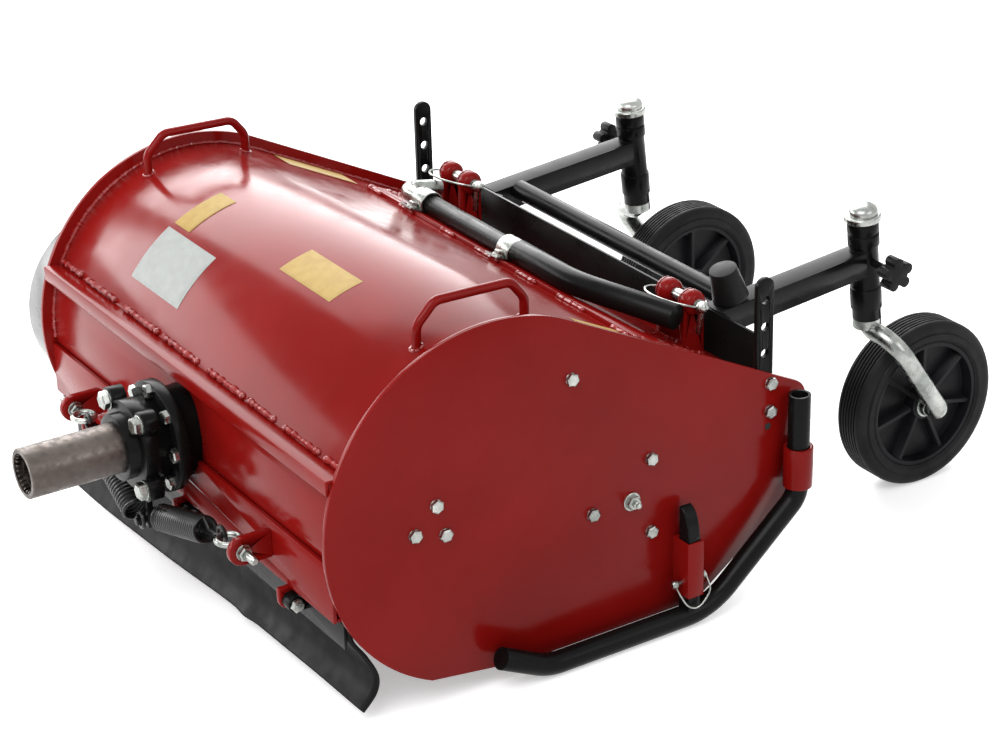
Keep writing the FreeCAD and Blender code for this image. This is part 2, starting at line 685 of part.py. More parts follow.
def round_headed(name, corners, x_low, thickness, centre, radius, hole):
    """A plate with a round, drilled head on a four-cornered foot."""
    foot = extruded(name + "_foot", corners, x_low, thickness)
    head = rod(name + "_head", "x", at(x_low, *centre), radius, thickness)
    bore = rod(name + "_bore", "x", at(x_low, *centre), hole, thickness)
    return cut(name, fuse(name + "_whole", [foot, head]), bore)


def front_lug(name, x):
    """A round-headed plate that stands on the shell's slope."""
    low, high = "(lug_ahead - lug_radius)", "(lug_ahead + lug_radius)"
    corners = [
        (low, on_slope(low) + " + seat_gap"),
        (high, on_slope(high) + " + seat_gap"),
        (high, "lug_up"),
        (low, "lug_up"),
    ]
    return round_headed(name, corners, "%s - lug_thickness / 2" % x, "lug_thickness",
                        ("lug_ahead", "lug_up"), "lug_radius", "lug_pin_radius + running_gap")


def front_lugs():
    places = ["%d * (lug_side %s lug_pitch / 2)" % (side, sign) for side in (-1, 1) for sign in "-+"]
    return group("front_lugs", [front_lug("front_lug_%d" % number, place)
                                for number, place in enumerate(places, start=1)])


def front_lug_pins():
    """Pins with a head outside and a ring-pull lynch clip, plain."""
    pins = []
    for word, side in (("left", -1), ("right", 1)):
        length = "(lug_pitch + lug_thickness + 2 * lug_pin_end)"
        start = at("%d * lug_side - %s / 2" % (side, length), "lug_ahead", "lug_up")
        pins.append(rod("lug_pin_" + word, "x", start, "lug_pin_radius", length))
    return pins


def top_rod():
    """A straight rod under two saddle clamps, and its thicker sleeve that runs on to the right."""
    sleeve_start = "(clamp_right + clamp_width / 2 + 4 * seat_gap)"
    straight = rod("top_rod_straight", "x", at("-clamp_left - rod_overhang", "rod_ahead", "rod_up"),
                   "rod_radius", "clamp_left + rod_overhang + %s + sleeve_radius" % sleeve_start)
    way = [spot(sleeve_start, "rod_ahead", "sleeve_up"),
           spot("sleeve_straight", "rod_ahead", "sleeve_up"),
           spot("sleeve_end", "rod_ahead + sleeve_swing", "sleeve_up - sleeve_fall")]
    sleeve = feature("top_rod_sleeve", bent_tube(way, value("sleeve_radius"), value("sleeve_bend")))
    return fuse("top_rod", [straight, sleeve])


def top_rod_bend():
    """The bright bent end that leads from the rod towards the left lugs."""
    x = "-clamp_left - rod_overhang"
    way = [spot(x, "rod_ahead", "rod_up"),
           spot(x + " - rod_end_reach", "rod_ahead", "rod_up"),
           spot(x + " - rod_end_reach", "rod_ahead + rod_end_swing", "rod_up - rod_end_fall")]
    return feature("top_rod_bend", bent_tube(way, value("rod_radius - 1.5"), value("rod_end_bend")))


def saddle_clamp(name, x):
    """Half a band over the rod, down to the beam."""
    inside = "(rod_radius + seat_gap)"
    outside = "(rod_radius + seat_gap + clamp_thickness)"
    outer = rod(name + "_outer", "x", at(x, "rod_ahead", "rod_up"), outside, "clamp_width")
    inner = rod(name + "_inner", "x", at(x, "rod_ahead", "rod_up"), inside, "clamp_width")
    band = cut(name + "_band", outer, inner)
    below = box(name + "_below", *at(x, "rod_ahead - 2 * rod_radius", "rod_up - 2 * rod_radius - 6"),
                "clamp_width", "4 * rod_radius", "2 * rod_radius")
    return cut(name, band, below)


def top_rod_clamps():
    return group("top_rod_clamps", [saddle_clamp("clamp_left_band", "-clamp_left - clamp_width / 2"),
                                    saddle_clamp("clamp_right_band", "clamp_right - clamp_width / 2")])


def height_bar(word, x_low):
    """A flat bar with a round top and a row of holes."""
    name, ahead, top = "height_bar_" + word, word + "_bar_ahead", word + "_bar_top"
    head_up = top + " - bar_width / 2"
    flat = box(name + "_flat", *at(x_low, ahead + " - bar_width / 2", "bar_bottom"),
               "bar_thickness", "bar_width", head_up + " - bar_bottom")
    head = rod(name + "_head", "x", at(x_low, ahead, head_up), "bar_width / 2", "bar_thickness")
    holes = [rod("%s_hole_%d" % (name, step), "x",
                 at(x_low, ahead, "%s - bar_top_hole - %d * bar_hole_pitch" % (top, step)),
                 "bar_hole_radius", "bar_thickness") for step in range(int(value("bar_holes")))]
    return cut(name, fuse(name + "_whole", [flat, head]), group(name + "_holes", holes))


def height_bars():
    return group("height_bars", [height_bar("left", "-inner_side + seat_gap"),
                                 height_bar("right", "inner_side - bar_thickness - seat_gap")])


# ---------------------------------------------------------------- rotor and drive

def rotor():
    """Tube, stub shafts and hammer flails in staggered rows, all one turning piece."""
    tube_half = "(inner_side - bearing_length - rotor_end_gap)"
    tube = rod("rotor_tube", "x", at("-" + tube_half, "0", "0"), "rotor_tube_radius", "2 * " + tube_half)
    left_reach = "(outer_side + rotor_shaft_reach)"
    shaft = rod("rotor_shaft", "x", at("-" + left_reach, "0", "0"), "rotor_shaft_radius",
                left_reach + " + inner_side - 1")
    flail = hammer_flail()
    rows, per_row = int(value("flail_rows")), int(value("flails_per_row"))
    pitch = (2 * value(tube_half) - value("flail_width")) / (per_row - 0.5)
    start = value("flail_width / 2") - value(tube_half)
    flails = []
    for row_number in range(rows):
        for step in range(per_row):
            copy = flail.copy()
            copy.rotate(Vector(), Vector(1, 0, 0), 360.0 * row_number / rows)
            shift = start + pitch * (step + 0.5 * (row_number % 2))
            copy.translate(Vector(shift, 0, 0) + spot("0", "0", "0"))
            flails.append(copy)
    hammers = feature("rotor_flails", Part.makeCompound(flails))
    return fuse("rotor", [tube, shaft, hammers])


def hammer_flail():
    """A lug from the tube, and a hammer that flares to its full width at the tip."""
    wide, thick = value("flail_width"), value("flail_thickness")
    lug_wide, lug_deep = value("flail_lug_width"), value("flail_lug_depth")
    root, narrow = value("flail_root_radius"), value("flail_root_width")
    foot = value("rotor_tube_radius") * 0.8
    lug_top = root + value("flail_lug_overlap")
    lug = Part.makeBox(lug_wide, lug_deep, lug_top - foot, Vector(-lug_wide / 2, -lug_deep / 2, foot))
    # The hammer's corners, not its middle, sweep the tip radius.
    tip = math.sqrt(value("flail_tip_radius") ** 2 - (thick / 2) ** 2)
    shoulder = tip - value("flail_flare")
    corners = [(-narrow / 2, root), (narrow / 2, root), (wide / 2, shoulder), (wide / 2, tip),
               (-wide / 2, tip), (-wide / 2, shoulder)]
    points = [Vector(x, -thick / 2, z) for x, z in corners]
    hammer = Part.Face(Part.makePolygon(points + points[:1])).extrude(Vector(0, thick, 0))
    return lug.fuse(hammer)


def bearing(name, x_low):
    outer = rod(name + "_housing", "x", at(x_low, "0", "0"), "bearing_radius", "bearing_length")
    bore = rod(name + "_bore", "x", at(x_low, "0", "0"), "rotor_shaft_radius + running_gap", "bearing_length")
    return cut(name, outer, bore)


def rotor_bearings():
    return group("rotor_bearings", [bearing("bearing_left", "-inner_side"),
                                    bearing("bearing_right", "inner_side - bearing_length")])


def gearbox():
    return box("gearbox", *at("-gearbox_width / 2", "-gearbox_back", "rotor_drop - gearbox_height / 2"),
               "gearbox_width", "gearbox_length", "gearbox_height")


def belt_cover():
    """An oval pan over both pulleys, open towards the left side plate."""
    def oval(shrink):
        rear, front = "(cover_rear_radius - %s)" % shrink, "(cover_front_radius - %s)" % shrink
        lean = "atan(-pulley_up / pulley_back)"
        spread = "acos((cover_rear_radius - cover_front_radius)" \
                 " / sqrt(pow(pulley_back; 2) + pow(pulley_up; 2)))"

        def touch(centre_y, centre_z, radius, sign):
            turn = "(%s %s %s)" % (lean, sign, spread)
            return ("%s + %s * cos(%s)" % (centre_y, radius, turn),
                    "%s + %s * sin(%s)" % (centre_z, radius, turn))

        return [
            touch("0", "0", front, "-"),
            touch("0", "0", front, "+") + (front, 1),
            touch("-pulley_back", "pulley_up", rear, "+"),
            touch("-pulley_back", "pulley_up", rear, "-") + (rear, 2),
        ]

    outer = extruded("cover_outer", oval("0"), "-outer_side - cover_depth", "cover_depth")
    inner = extruded("cover_inner", oval("cover_thickness"), "-outer_side - cover_depth + cover_thickness",
                     "cover_depth")
    return cut("belt_cover", outer, inner)


# ---------------------------------------------------------------- hitch

def hitch_flange():
    """The fixed flange: its disc, its hub through the shell, and the collar's bearing bore."""
    rear, disc_end = "flange_rear", "(flange_rear + flange_length)"
    hub_end = "(rotor_ahead - gearbox_back)"
    bore = "(journal_radius + running_gap)"
    bore_end = "(flange_rear + journal_length + 2)"
    shaft_way = "(spigot_bore_radius + 2)"
    corners = [
        (bore, rear), ("flange_radius", rear), ("flange_radius", disc_end), ("flange_hub_radius", disc_end),
        ("flange_hub_radius", hub_end), (shaft_way, hub_end), (shaft_way, bore_end), (bore, bore_end),
    ]
    return turned("hitch_flange", "XY_Plane", "V_Axis", corners, ("0", "0", "0"))


def hitch_collar():
    """The rolling collar: nose, lobed plate, neck, journal and the arm that the springs pull on."""
    inner = "(spigot_seat_radius + running_gap)"
    journal_end = "(flange_rear + journal_length)"
    plate_end = "(collar_hub_length + collar_length)"
    corners = [
        (inner, "0"), ("collar_hub_radius", "0"), ("collar_hub_radius", "collar_hub_length"),
        ("collar_radius", "collar_hub_length"), ("collar_radius", plate_end),
        ("collar_neck_radius", plate_end), ("collar_neck_radius", "collar_front"),
        ("journal_radius", "collar_front"),
        ("journal_radius", journal_end), (inner, journal_end),
    ]
    barrel = turned("collar_barrel", "XY_Plane", "V_Axis", corners, ("0", "0", "0"))
    lobes = []
    for number in range(int(value("collar_lobes"))):
        angle = "(45 + %d * 360 / collar_lobes)" % number
        middle = ("collar_bolt_radius * cos(%s)" % angle, "collar_hub_length",
                  "collar_bolt_radius * sin(%s)" % angle)
        lobes.append(rod("collar_lobe_%d" % number, "y", middle, "collar_lobe_radius", "collar_length"))
    arm_drop = "(hook_drop + 2 * hook_pin_radius)"
    arm = box("collar_arm", "-hook_width / 2", "hook_ahead", "-" + arm_drop,
              "hook_width", "hook_thickness", arm_drop + " - collar_hub_radius")
    pin = rod("collar_pin", "y", ("0", "hook_ahead - hook_pin_reach", "-hook_drop"), "hook_pin_radius",
              "hook_thickness + 2 * hook_pin_reach")
    way = rod("collar_way", "y", ("0", "0", "0"), inner, journal_end)
    return cut("hitch_collar", fuse("collar_whole", [barrel] + lobes + [arm, pin]), way)


def hitch_spigot():
    corners = [
        ("spigot_bore_radius", "-spigot_length"), ("spigot_radius - 1", "-spigot_length"),
        ("spigot_radius", "1 - spigot_length"), ("spigot_radius", "0"), ("spigot_seat_radius", "0"),
        ("spigot_seat_radius", "flange_rear + journal_length"),
        ("spigot_bore_radius", "flange_rear + journal_length"),
    ]
    return turned("hitch_spigot", "XY_Plane", "V_Axis", corners, ("0", "0", "0"))


def drive_socket():
    """The splined socket that turns inside the spigot and drives the gearbox."""
    outer = "(spigot_bore_radius - seat_gap)"
    mouth, end = "(socket_recess - spigot_length)", "(rotor_ahead - gearbox_back - seat_gap)"
    barrel = rod("socket_barrel", "y", ("0", mouth, "0"), outer, "%s - %s" % (end, mouth))
    length = value("socket_length")
    bore = rod("socket_bore", "y", ("0", mouth, "0"), "socket_bore_radius", "socket_length")
    wide, deep = value("spline_width"), value("spline_radius")
    inside = value("socket_bore_radius - spline_lap")
    count = int(value("spline_count"))
    grooves = []
    for number in range(count):
        groove = Part.makeBox(wide, length, deep - inside, Vector(-wide / 2, value(mouth), inside))
        groove.rotate(Vector(), Vector(0, 1, 0), 360.0 * number / count)
        grooves.append(groove)
    bottom = Part.makeCylinder(deep, length, Vector(0, value(mouth), 0), Vector(0, 1, 0))
    splines = feature("socket_splines", Part.makeCompound(grooves).common(bottom))
    return cut("drive_socket", barrel, fuse("socket_inside", [bore, splines]))


def spring_ends(side):
    """Centres of a spring's two end loops: on the collar's pin and in the eyebolt's ring."""
    pin_y = value("hook_ahead + hook_thickness + spring_seat" if side > 0 else "hook_ahead - spring_seat")
    pin = Vector(0, pin_y, -value("hook_drop"))
    eye = Vector(side * value("spring_eye_side"), value("rotor_ahead - spring_eye_back"),
                 value("spring_eye_up - rotor_drop"))
    level = Vector(eye.x - pin.x, eye.y - pin.y, 0).normalize()
    near_round = eye - level * value("eye_radius")
    heading = (near_round - pin).normalize()
    inside = value("spring_loop_radius - spring_wire / 2 - seat_gap")
    return (pin + heading * (inside - value("hook_pin_radius")),
            near_round - heading * (inside - value("eye_wire")), heading)


def centring_spring(name, side):
    """A close-wound extension spring: its coils as one ringed barrel, and a loop at each end."""
    inner, outer, heading = spring_ends(side)
    wire, pitch, radius = value("spring_wire"), value("spring_pitch"), value("spring_radius")
    loop = value("spring_loop_radius")
    neck = wire / 2
    start = loop + wire
    coils = int(((outer - inner).Length - 2 * start - value("spring_hook")) / pitch)
    ring_radius = radius - wire / 2
    edges = [Part.LineSegment(Vector(0, 0, start), Vector(ring_radius, 0, start)).toShape()]
    for number in range(coils):
        low = start + number * pitch
        edges.append(Part.Arc(Vector(ring_radius, 0, low), Vector(radius, 0, low + pitch / 2),
                              Vector(ring_radius, 0, low + pitch)).toShape())
    end = start + coils * pitch
    edges.append(Part.LineSegment(Vector(ring_radius, 0, end), Vector(0, 0, end)).toShape())
    edges.append(Part.LineSegment(Vector(0, 0, end), Vector(0, 0, start)).toShape())
    barrel = Part.Face(Part.Wire(edges)).revolve(Vector(), Vector(0, 0, 1), 360)
    far = (outer - inner).Length
    flat = Rotation(Vector(0, 0, 1), Vector(1, 0, 0))
    pieces = [barrel]
    for place in (0.0, far):
        eye = Part.makeTorus(loop, wire / 2)
        eye.Placement = Placement(Vector(0, 0, place), flat)
        pieces.append(eye)
    pieces.append(Part.makeCylinder(neck, start - loop + neck, Vector(0, 0, loop)))
    pieces.append(Part.makeCylinder(neck, far - loop - end + neck, Vector(0, 0, end - neck)))
    whole = pieces[0].multiFuse(pieces[1:]).removeSplitter()
    across = Vector(0, 1, 0) - heading * heading.y
    return feature(name, whole, Placement(inner, Rotation(across, Vector(), heading, "ZXY")))


def spring_eyebolt(name, side):
    eye = at("%d * spring_eye_side" % side, "-spring_eye_back", "spring_eye_up")
    ring_piece = ring(name + "_ring", "z", eye, "eye_radius", "eye_wire")
    start_x = "spring_eye_side + eye_radius"
    if side < 0:
        start_x = "-spring_eye_side - eye_radius - eye_shank_length"
    shank = rod(name + "_shank", "x", at(start_x, "-spring_eye_back", "spring_eye_up"), "eye_shank_radius",
                "eye_shank_length")
    return fuse(name, [ring_piece, shank])


def spring_lug(name, side):
    """A round-headed plate behind the rear panel, drilled for the eyebolt."""
    seat_line = "-(panel_seat + panel_thickness)"
    corners = [
        (seat_line, "spring_eye_up - spring_lug_radius"),
        (seat_line, "spring_eye_up + spring_lug_radius"),
        ("-spring_eye_back", "spring_eye_up + spring_lug_radius"),
        ("-spring_eye_back", "spring_eye_up - spring_lug_radius"),
    ]
    return round_headed(name, corners, "%d * spring_lug_side - spring_lug_thickness / 2" % side,
                        "spring_lug_thickness", ("-spring_eye_back", "spring_eye_up"), "spring_lug_radius",
                        "eye_shank_radius + running_gap")


# ---------------------------------------------------------------- rear flap

FLAP_STATIONS = (-1, 0, 1)


def flap_hinge_lugs():
    lugs = []
    for step in FLAP_STATIONS:
        name = "flap_hinge_%d" % (step + 2)
        x = "%d * flap_lug_spacing - flap_lug_thickness / 2" % step
        y, z = "-flap_pivot_back", "-flap_pivot_drop"
        head = rod(name + "_head", "x", at(x, y, z), "flap_lug_radius", "flap_lug_thickness")
        neck = box(name + "_neck", *at(x, "%s - flap_lug_radius" % y, z), "flap_lug_thickness",
                   "2 * flap_lug_radius", "flap_pivot_drop - panel_drop")
        hole = rod(name + "_hole", "x", at(x, y, z), "flap_pin_radius + running_gap", "flap_lug_thickness")
        lugs.append(cut(name, fuse(name + "_plate", [head, neck]), hole))
    return lugs


def flap_pins():
    length = "(flap_lug_thickness + knuckle_length + flap_pin_head + flap_pin_end)"
    return [rod("flap_pin_%d" % (step + 2), "x",
                at("%d * flap_lug_spacing - flap_lug_thickness / 2 - flap_pin_head" % step,
                   "-flap_pivot_back", "-flap_pivot_drop"), "flap_pin_radius", length)
            for step in FLAP_STATIONS]


def flap_strip():
    """The steel strip that hangs on the pins by a knuckle beside each lug."""
    y, z = "-flap_pivot_back", "-flap_pivot_drop"
    strip = box("flap_strip_flat", *at("-flap_width / 2", "%s + strip_ahead - strip_thickness / 2" % y,
                                       "%s + strip_rise - strip_height" % z),
                "flap_width", "strip_thickness", "strip_height")
    knuckles, bores = [], []
    for step in FLAP_STATIONS:
        x = "%d * flap_lug_spacing + flap_lug_thickness / 2 + seat_gap" % step
        name = "knuckle_%d" % (step + 2)
        knuckles.append(rod(name, "x", at(x, y, z), "knuckle_radius", "knuckle_length"))
        knuckles.append(box(name + "_leaf", *at(x, y, "%s - knuckle_radius" % z), "knuckle_length",
                            "strip_ahead", "knuckle_leaf"))
        bores.append(rod(name + "_bore", "x", at(x, y, z), "flap_pin_radius + running_gap", "knuckle_length"))
    return cut("flap_strip", fuse("flap_strip_whole", [strip] + knuckles), group("knuckle_bores", bores))


# Shares of the sheet's drop, and of its bow, down its middle line.
RUBBER_BOW = [(0, 0), (0.1, 0), (0.23, 0.12), (0.42, 0.58), (0.66, 1), (0.84, 0.95), (1, 0.6)]


def rubber_outline(x, belly, sweep):
    """The rubber sheet's end: it hangs from the strip, bows forward and curls back at the ground."""
    top = value("strip_rise - flap_pivot_drop")
    drop = top - value("rubber_ground_gap - rotor_height")
    half = value("rubber_thickness") / 2
    face = value("-flap_pivot_back + strip_ahead + strip_thickness / 2 + 2 * seat_gap") + half
    curve = Part.BSplineCurve()
    curve.interpolate([Vector(value(x), face + bow * belly - share ** 2 * sweep, top - share * drop)
                       for share, bow in RUBBER_BOW])
    steps = 24
    first, last = curve.FirstParameter, curve.LastParameter
    front, back = [], []
    for step in range(steps + 1):
        place = first + (last - first) * step / steps
        heading = curve.tangent(place)[0]
        across = Vector(0, -heading.z, heading.y)
        front.append(curve.value(place) + across * half)
        back.insert(0, curve.value(place) - across * half)

    def smooth(points):
        side = Part.BSplineCurve()
        side.interpolate(points)
        return side.toShape()

    return Part.Wire([smooth(front), Part.makeLine(front[-1], back[0]), smooth(back),
                      Part.makeLine(back[-1], front[0])])


def rubber_flap():
    """A thick rubber sheet that hangs straighter, and further back, at its left end."""
    left = rubber_outline("-flap_width / 2", value("rubber_left_belly"), value("rubber_left_sweep"))
    right = rubber_outline("flap_width / 2", value("rubber_belly"), 0)
    sheet_solid = Part.makeLoft([left, right], True, True)
    return feature("rubber_flap", sheet_solid, Placement(spot("0", "0", "0"), Rotation()))


# ---------------------------------------------------------------- wheel frame and castors

def frame_arm(name, side):
    """A square tube from its foot plate to the post sleeve."""
    middle = "%d * arm_side" % side
    reach = "post_ahead - sleeve_outer_radius / 2"
    tube = box(name + "_tube", "%s - arm_size / 2" % middle, "0", "-arm_size / 2", "arm_size", reach,
               "arm_size")
    sleeve = rod(name + "_sleeve", "z", (middle, "post_ahead", "-sleeve_drop"), "sleeve_outer_radius",
                 "sleeve_drop + sleeve_top")
    bore = rod(name + "_bore", "z", (middle, "post_ahead", "-sleeve_drop"), "stem_radius + running_gap",
               "sleeve_drop + sleeve_top")
    spacers = [rod("%s_spacer_%d" % (name, number), "z", (middle, "post_ahead", low), "spacer_radius", height)
               for number, (low, height) in enumerate([
                   ("sleeve_top - spacer_height", "spacer_height"),
                   ("sleeve_top - 2.2 * spacer_height", "spacer_height"),
                   ("-spacer_drop", "2 * spacer_height")])]
    welded = fuse(name + "_welded", [tube, sleeve] + spacers)
    arm = seat(cut(name + "_pitched", welded, bore), FRAME_ROOT, "x", "frame_pitch")
    foot = box(name + "_foot", *at("%s - foot_plate / 2" % middle, "shell_front + guard_thickness + seat_gap",
                                   "guard_top - foot_plate - 2"),
               "foot_plate", "foot_plate_thickness", "foot_plate")
    return fuse(name, [arm, foot])


def cross_tube():
    length = "(2 * arm_side - arm_size - 2 * seat_gap)"
    tube = rod("cross_tube_round", "x", ("-%s / 2" % length, "cross_tube_ahead", "cross_tube_up"),
               "cross_tube_radius", length)
    return seat(group("frame_cross_tube", [tube]), FRAME_ROOT, "x", "frame_pitch")


def stub_cap():
    """A rubber-capped stub that leans back on top of the right arm."""
    stub = bind(doc.addObject("Part::Cone", "stub_right"), Radius1="stub_radius", Radius2="stub_top_radius",
                Height="stub_length")
    lift = "arm_size / 2 + stub_radius * sin(stub_lean) + seat_gap"
    seat(stub, ("arm_side", "stub_ahead", lift), "x", "stub_lean")
    return seat(group("frame_stub_caps", [stub]), FRAME_ROOT, "x", "frame_pitch")


def castor_knobs():
    """A five-lobed knob outside each post, on its screw."""
    knobs = []
    for word, side in (("left", -1), ("right", 1)):
        name = "castor_knob_" + word
        inner_x = "knob_side" if side > 0 else "-knob_side - knob_length"
        screw_x = "arm_side + sleeve_outer_radius + seat_gap" if side > 0 else "-knob_side - 1"
        core = rod(name + "_core", "x", (inner_x, "post_ahead", "0"), "knob_radius * 0.62", "knob_length")
        screw = rod(name + "_screw", "x", (screw_x, "post_ahead", "0"), "knob_screw_radius",
                    "knob_side - arm_side - sleeve_outer_radius - seat_gap + 1")
        lobes = []
        for number in range(5):
            turn = "(90 + %d * 72)" % number
            middle = (inner_x, "post_ahead + knob_radius * 0.68 * cos(%s)" % turn,
                      "knob_radius * 0.68 * sin(%s)" % turn)
            lobes.append(rod("%s_lobe_%d" % (name, number), "x", middle, "knob_radius * 0.32", "knob_length"))
        knobs.append(fuse(name, [core, screw] + lobes))
    return seat(group("castor_knobs", knobs), FRAME_ROOT, "x", "frame_pitch")


def castor_fork(name, side):
    """Stem, lower collar, bent leg and axle of one castor."""
    middle = "%d * arm_side" % side
    axis_way = Rotation(Vector(1, 0, 0), value("frame_pitch")).multVec(Vector(0, 0, 1))
    low = on_frame(middle, "post_ahead", "-sleeve_drop - seat_gap - stem_collar_height")
    top = on_frame(middle, "post_ahead", "sleeve_top + seat_gap")
    stem = Part.makeCylinder(value("stem_radius"), (top - low).Length, low, axis_way)
    collar = Part.makeCylinder(value("stem_collar_radius"), value("stem_collar_height"), low, axis_way)
    leg_side = side * value("arm_side + leg_offset")
    axle_y, axle_z = value("rotor_ahead + wheel_ahead"), value("wheel_up - rotor_drop")
    shoulder = low - axis_way * value("leg_drop")
    elbow = Vector(leg_side, shoulder.y, shoulder.z)
    hub = Vector(leg_side, axle_y, axle_z)
    hub_in = Vector(side * value("arm_side + rim_width / 2 + seat_gap"), axle_y, axle_z)
    start = low + axis_way * value("stem_collar_height")
    tight, wide = value("leg_bend"), value("leg_sweep")
    leg = bent_tube([start, shoulder, elbow, hub, hub_in], value("leg_radius"), tight, wide, tight)
    axle_low = side * value("arm_side - rim_width / 2 - 6")
    axle = Part.makeCylinder(value("axle_radius"), abs(hub_in.x - axle_low) + 4,
                             Vector(axle_low, axle_y, axle_z), Vector(side, 0, 0))
    whole = stem.multiFuse([collar, leg, axle]).removeSplitter()
    return feature(name, whole)


def castor_cap(name, side):
    """A flat, round-rimmed cap with a domed boss, on top of the stem."""
    boss_top = "(cap_boss_height + cap_dome_radius - sqrt(pow(cap_dome_radius; 2) - pow(cap_boss_radius; 2)))"
    corners = [
        ("0", "0"), ("stem_cap_radius - 1", "0"), ("stem_cap_radius", "1"),
        ("stem_cap_radius", "stem_cap_rim - 2"),
        ("stem_cap_radius - 2", "stem_cap_rim", "2", 1), ("cap_boss_radius", "stem_cap_rim"),
        ("cap_boss_radius", "cap_boss_height"), ("0", boss_top, "cap_dome_radius", 1),
    ]
    place = ("%d * arm_side" % side, "post_ahead", "sleeve_top + seat_gap")
    cap = turned(name + "_dome", "XZ_Plane", "V_Axis", corners, place)
    return seat(group(name, [cap]), FRAME_ROOT, "x", "frame_pitch")


def tyre(name, side):
    wide, edge = "wheel_radius", "(wheel_radius - tyre_shoulder)"
    left, right = "-wheel_width / 2", "wheel_width / 2"
    corners = [
        (left, "tyre_inner_radius"), (right, "tyre_inner_radius"), (right, edge),
        (right + " - tyre_shoulder", wide, "tyre_shoulder", 1),
        (left + " + tyre_shoulder", wide), (left, edge, "tyre_shoulder", 1),
    ]
    return turned(name, "XY_Plane", "H_Axis", corners, at("%d * arm_side" % side, "wheel_ahead", "wheel_up"))


def rim(name, side):
    """A plastic rim: band, web, hub and vanes, on a plain bore."""
    band, bore = "(tyre_inner_radius - seat_gap)", "(axle_radius + running_gap)"
    inner = "(tyre_inner_radius - seat_gap - rim_wall)"
    half, web = "(rim_width / 2)", "(rim_web / 2)"
    corners = [
        ("-" + half, bore), (half, bore), (half, "hub_radius"), (web, "hub_radius"), (web, inner),
        (half, inner), (half, band), ("-" + half, band), ("-" + half, inner), ("-" + web, inner),
        ("-" + web, "hub_radius"), ("-" + half, "hub_radius"),
    ]
    place = at("%d * arm_side" % side, "wheel_ahead", "wheel_up")
    disc = turned(name + "_disc", "XY_Plane", "H_Axis", corners, place)
    count = int(value("rim_vanes"))
    depth, thick = value("rim_width - 2 * vane_inset"), value("vane_thickness")
    reach, root = value(inner) + 1, value("hub_radius") - 1
    vanes = []
    for number in range(count):
        vane = Part.makeBox(depth, thick, reach - root, Vector(-depth / 2, -thick / 2, root))
        vane.rotate(Vector(), Vector(1, 0, 0), 360.0 * number / count)
        vanes.append(vane)
    centre = Vector(*(value(part) for part in place))
    blades = feature(name + "_vanes", Part.makeCompound(vanes), Placement(centre, Rotation()))
    return fuse(name, [disc, blades])


# ---------------------------------------------------------------- skids

def skid(name, side):
    """A bent tube that slides in two guides on the side plate."""
    x = "%d * skid_side" % side
    way = [spot(x, "skid_post_ahead", "skid_post_top"),
           spot(x, "skid_post_ahead", "-skid_bend_drop"),
           spot(x, "skid_level_front", "skid_level"),
           spot(x, "-skid_level_rear", "skid_level"),
           spot(x, "-skid_rear", "skid_level + skid_rear_rise")]
    tube = bent_tube(way, value("skid_radius"), value("skid_bend"), value("skid_sweep"),
                     value("skid_tail_bend"))
    mouth = Part.makeCylinder(value("skid_bore_radius"), value("skid_bore_depth"), way[0], Vector(0, 0, -1))
    low = spot(x, "skid_bar_ahead - skid_bar_width / 2", "skid_level")
    inner, outer = (Vector(step * side * value("skid_bar_depth / 2"), 0, 0) for step in (-1, 1))
    top = Vector(0, 0, value("-skid_bar_drop - skid_level"))
    fall = Vector(0, 0, value("skid_bar_slant"))
    crown = Vector(side * value("skid_bar_crown"), 0, 0)
    corners = [low + inner, low + outer, low + outer + top - fall, low + inner + top]
    slant = Part.Arc(corners[2], low + top - fall * 0.5 + crown, corners[3]).toShape()
    outline = [Part.makeLine(corners[0], corners[1]), Part.makeLine(corners[1], corners[2]), slant,
               Part.makeLine(corners[3], corners[0])]
    upright = Part.Face(Part.Wire(outline)).extrude(Vector(0, value("skid_bar_width"), 0))
    return feature(name, tube.cut(mouth).fuse(upright).removeSplitter())


def skid_guide_pair(word, side):
    """The round guide and the box guide welded outside one side plate."""
    x = "%d * skid_side" % side
    outer, inner = "(skid_radius + guide_wall)", "(skid_radius + seat_gap)"
    base = at(x, "skid_post_ahead", "guide_top - guide_height")
    round_outer = rod("round_guide_outer_" + word, "z", base, outer, "guide_height")
    round_inner = rod("round_guide_inner_" + word, "z", base, inner, "guide_height")
    round_guide = cut("round_guide_" + word, round_outer, round_inner)
    low = "-box_guide_drop - box_guide_height"
    width, clear_width = "(skid_bar_width + 2 * box_guide_wall)", "(skid_bar_width + 2 * seat_gap)"
    depth = "(skid_offset + skid_bar_depth / 2 + box_guide_wall)"
    clear_depth = "(skid_bar_depth + 2 * seat_gap)"
    plate_side = "outer_side" if side > 0 else "-outer_side - " + depth
    outer_box = box("box_guide_outer_" + word, *at(plate_side, "skid_bar_ahead - %s / 2" % width, low),
                    depth, width, "box_guide_height")
    inner_box = box("box_guide_inner_" + word,
                    *at("%s - %s / 2" % (x, clear_depth), "skid_bar_ahead - %s / 2" % clear_width, low),
                    clear_depth, clear_width, "box_guide_height")
    return [round_guide, cut("box_guide_" + word, outer_box, inner_box)]


def skid_guides():
    return group("skid_guides", skid_guide_pair("left", -1) + skid_guide_pair("right", 1))


# ---------------------------------------------------------------- the assembly

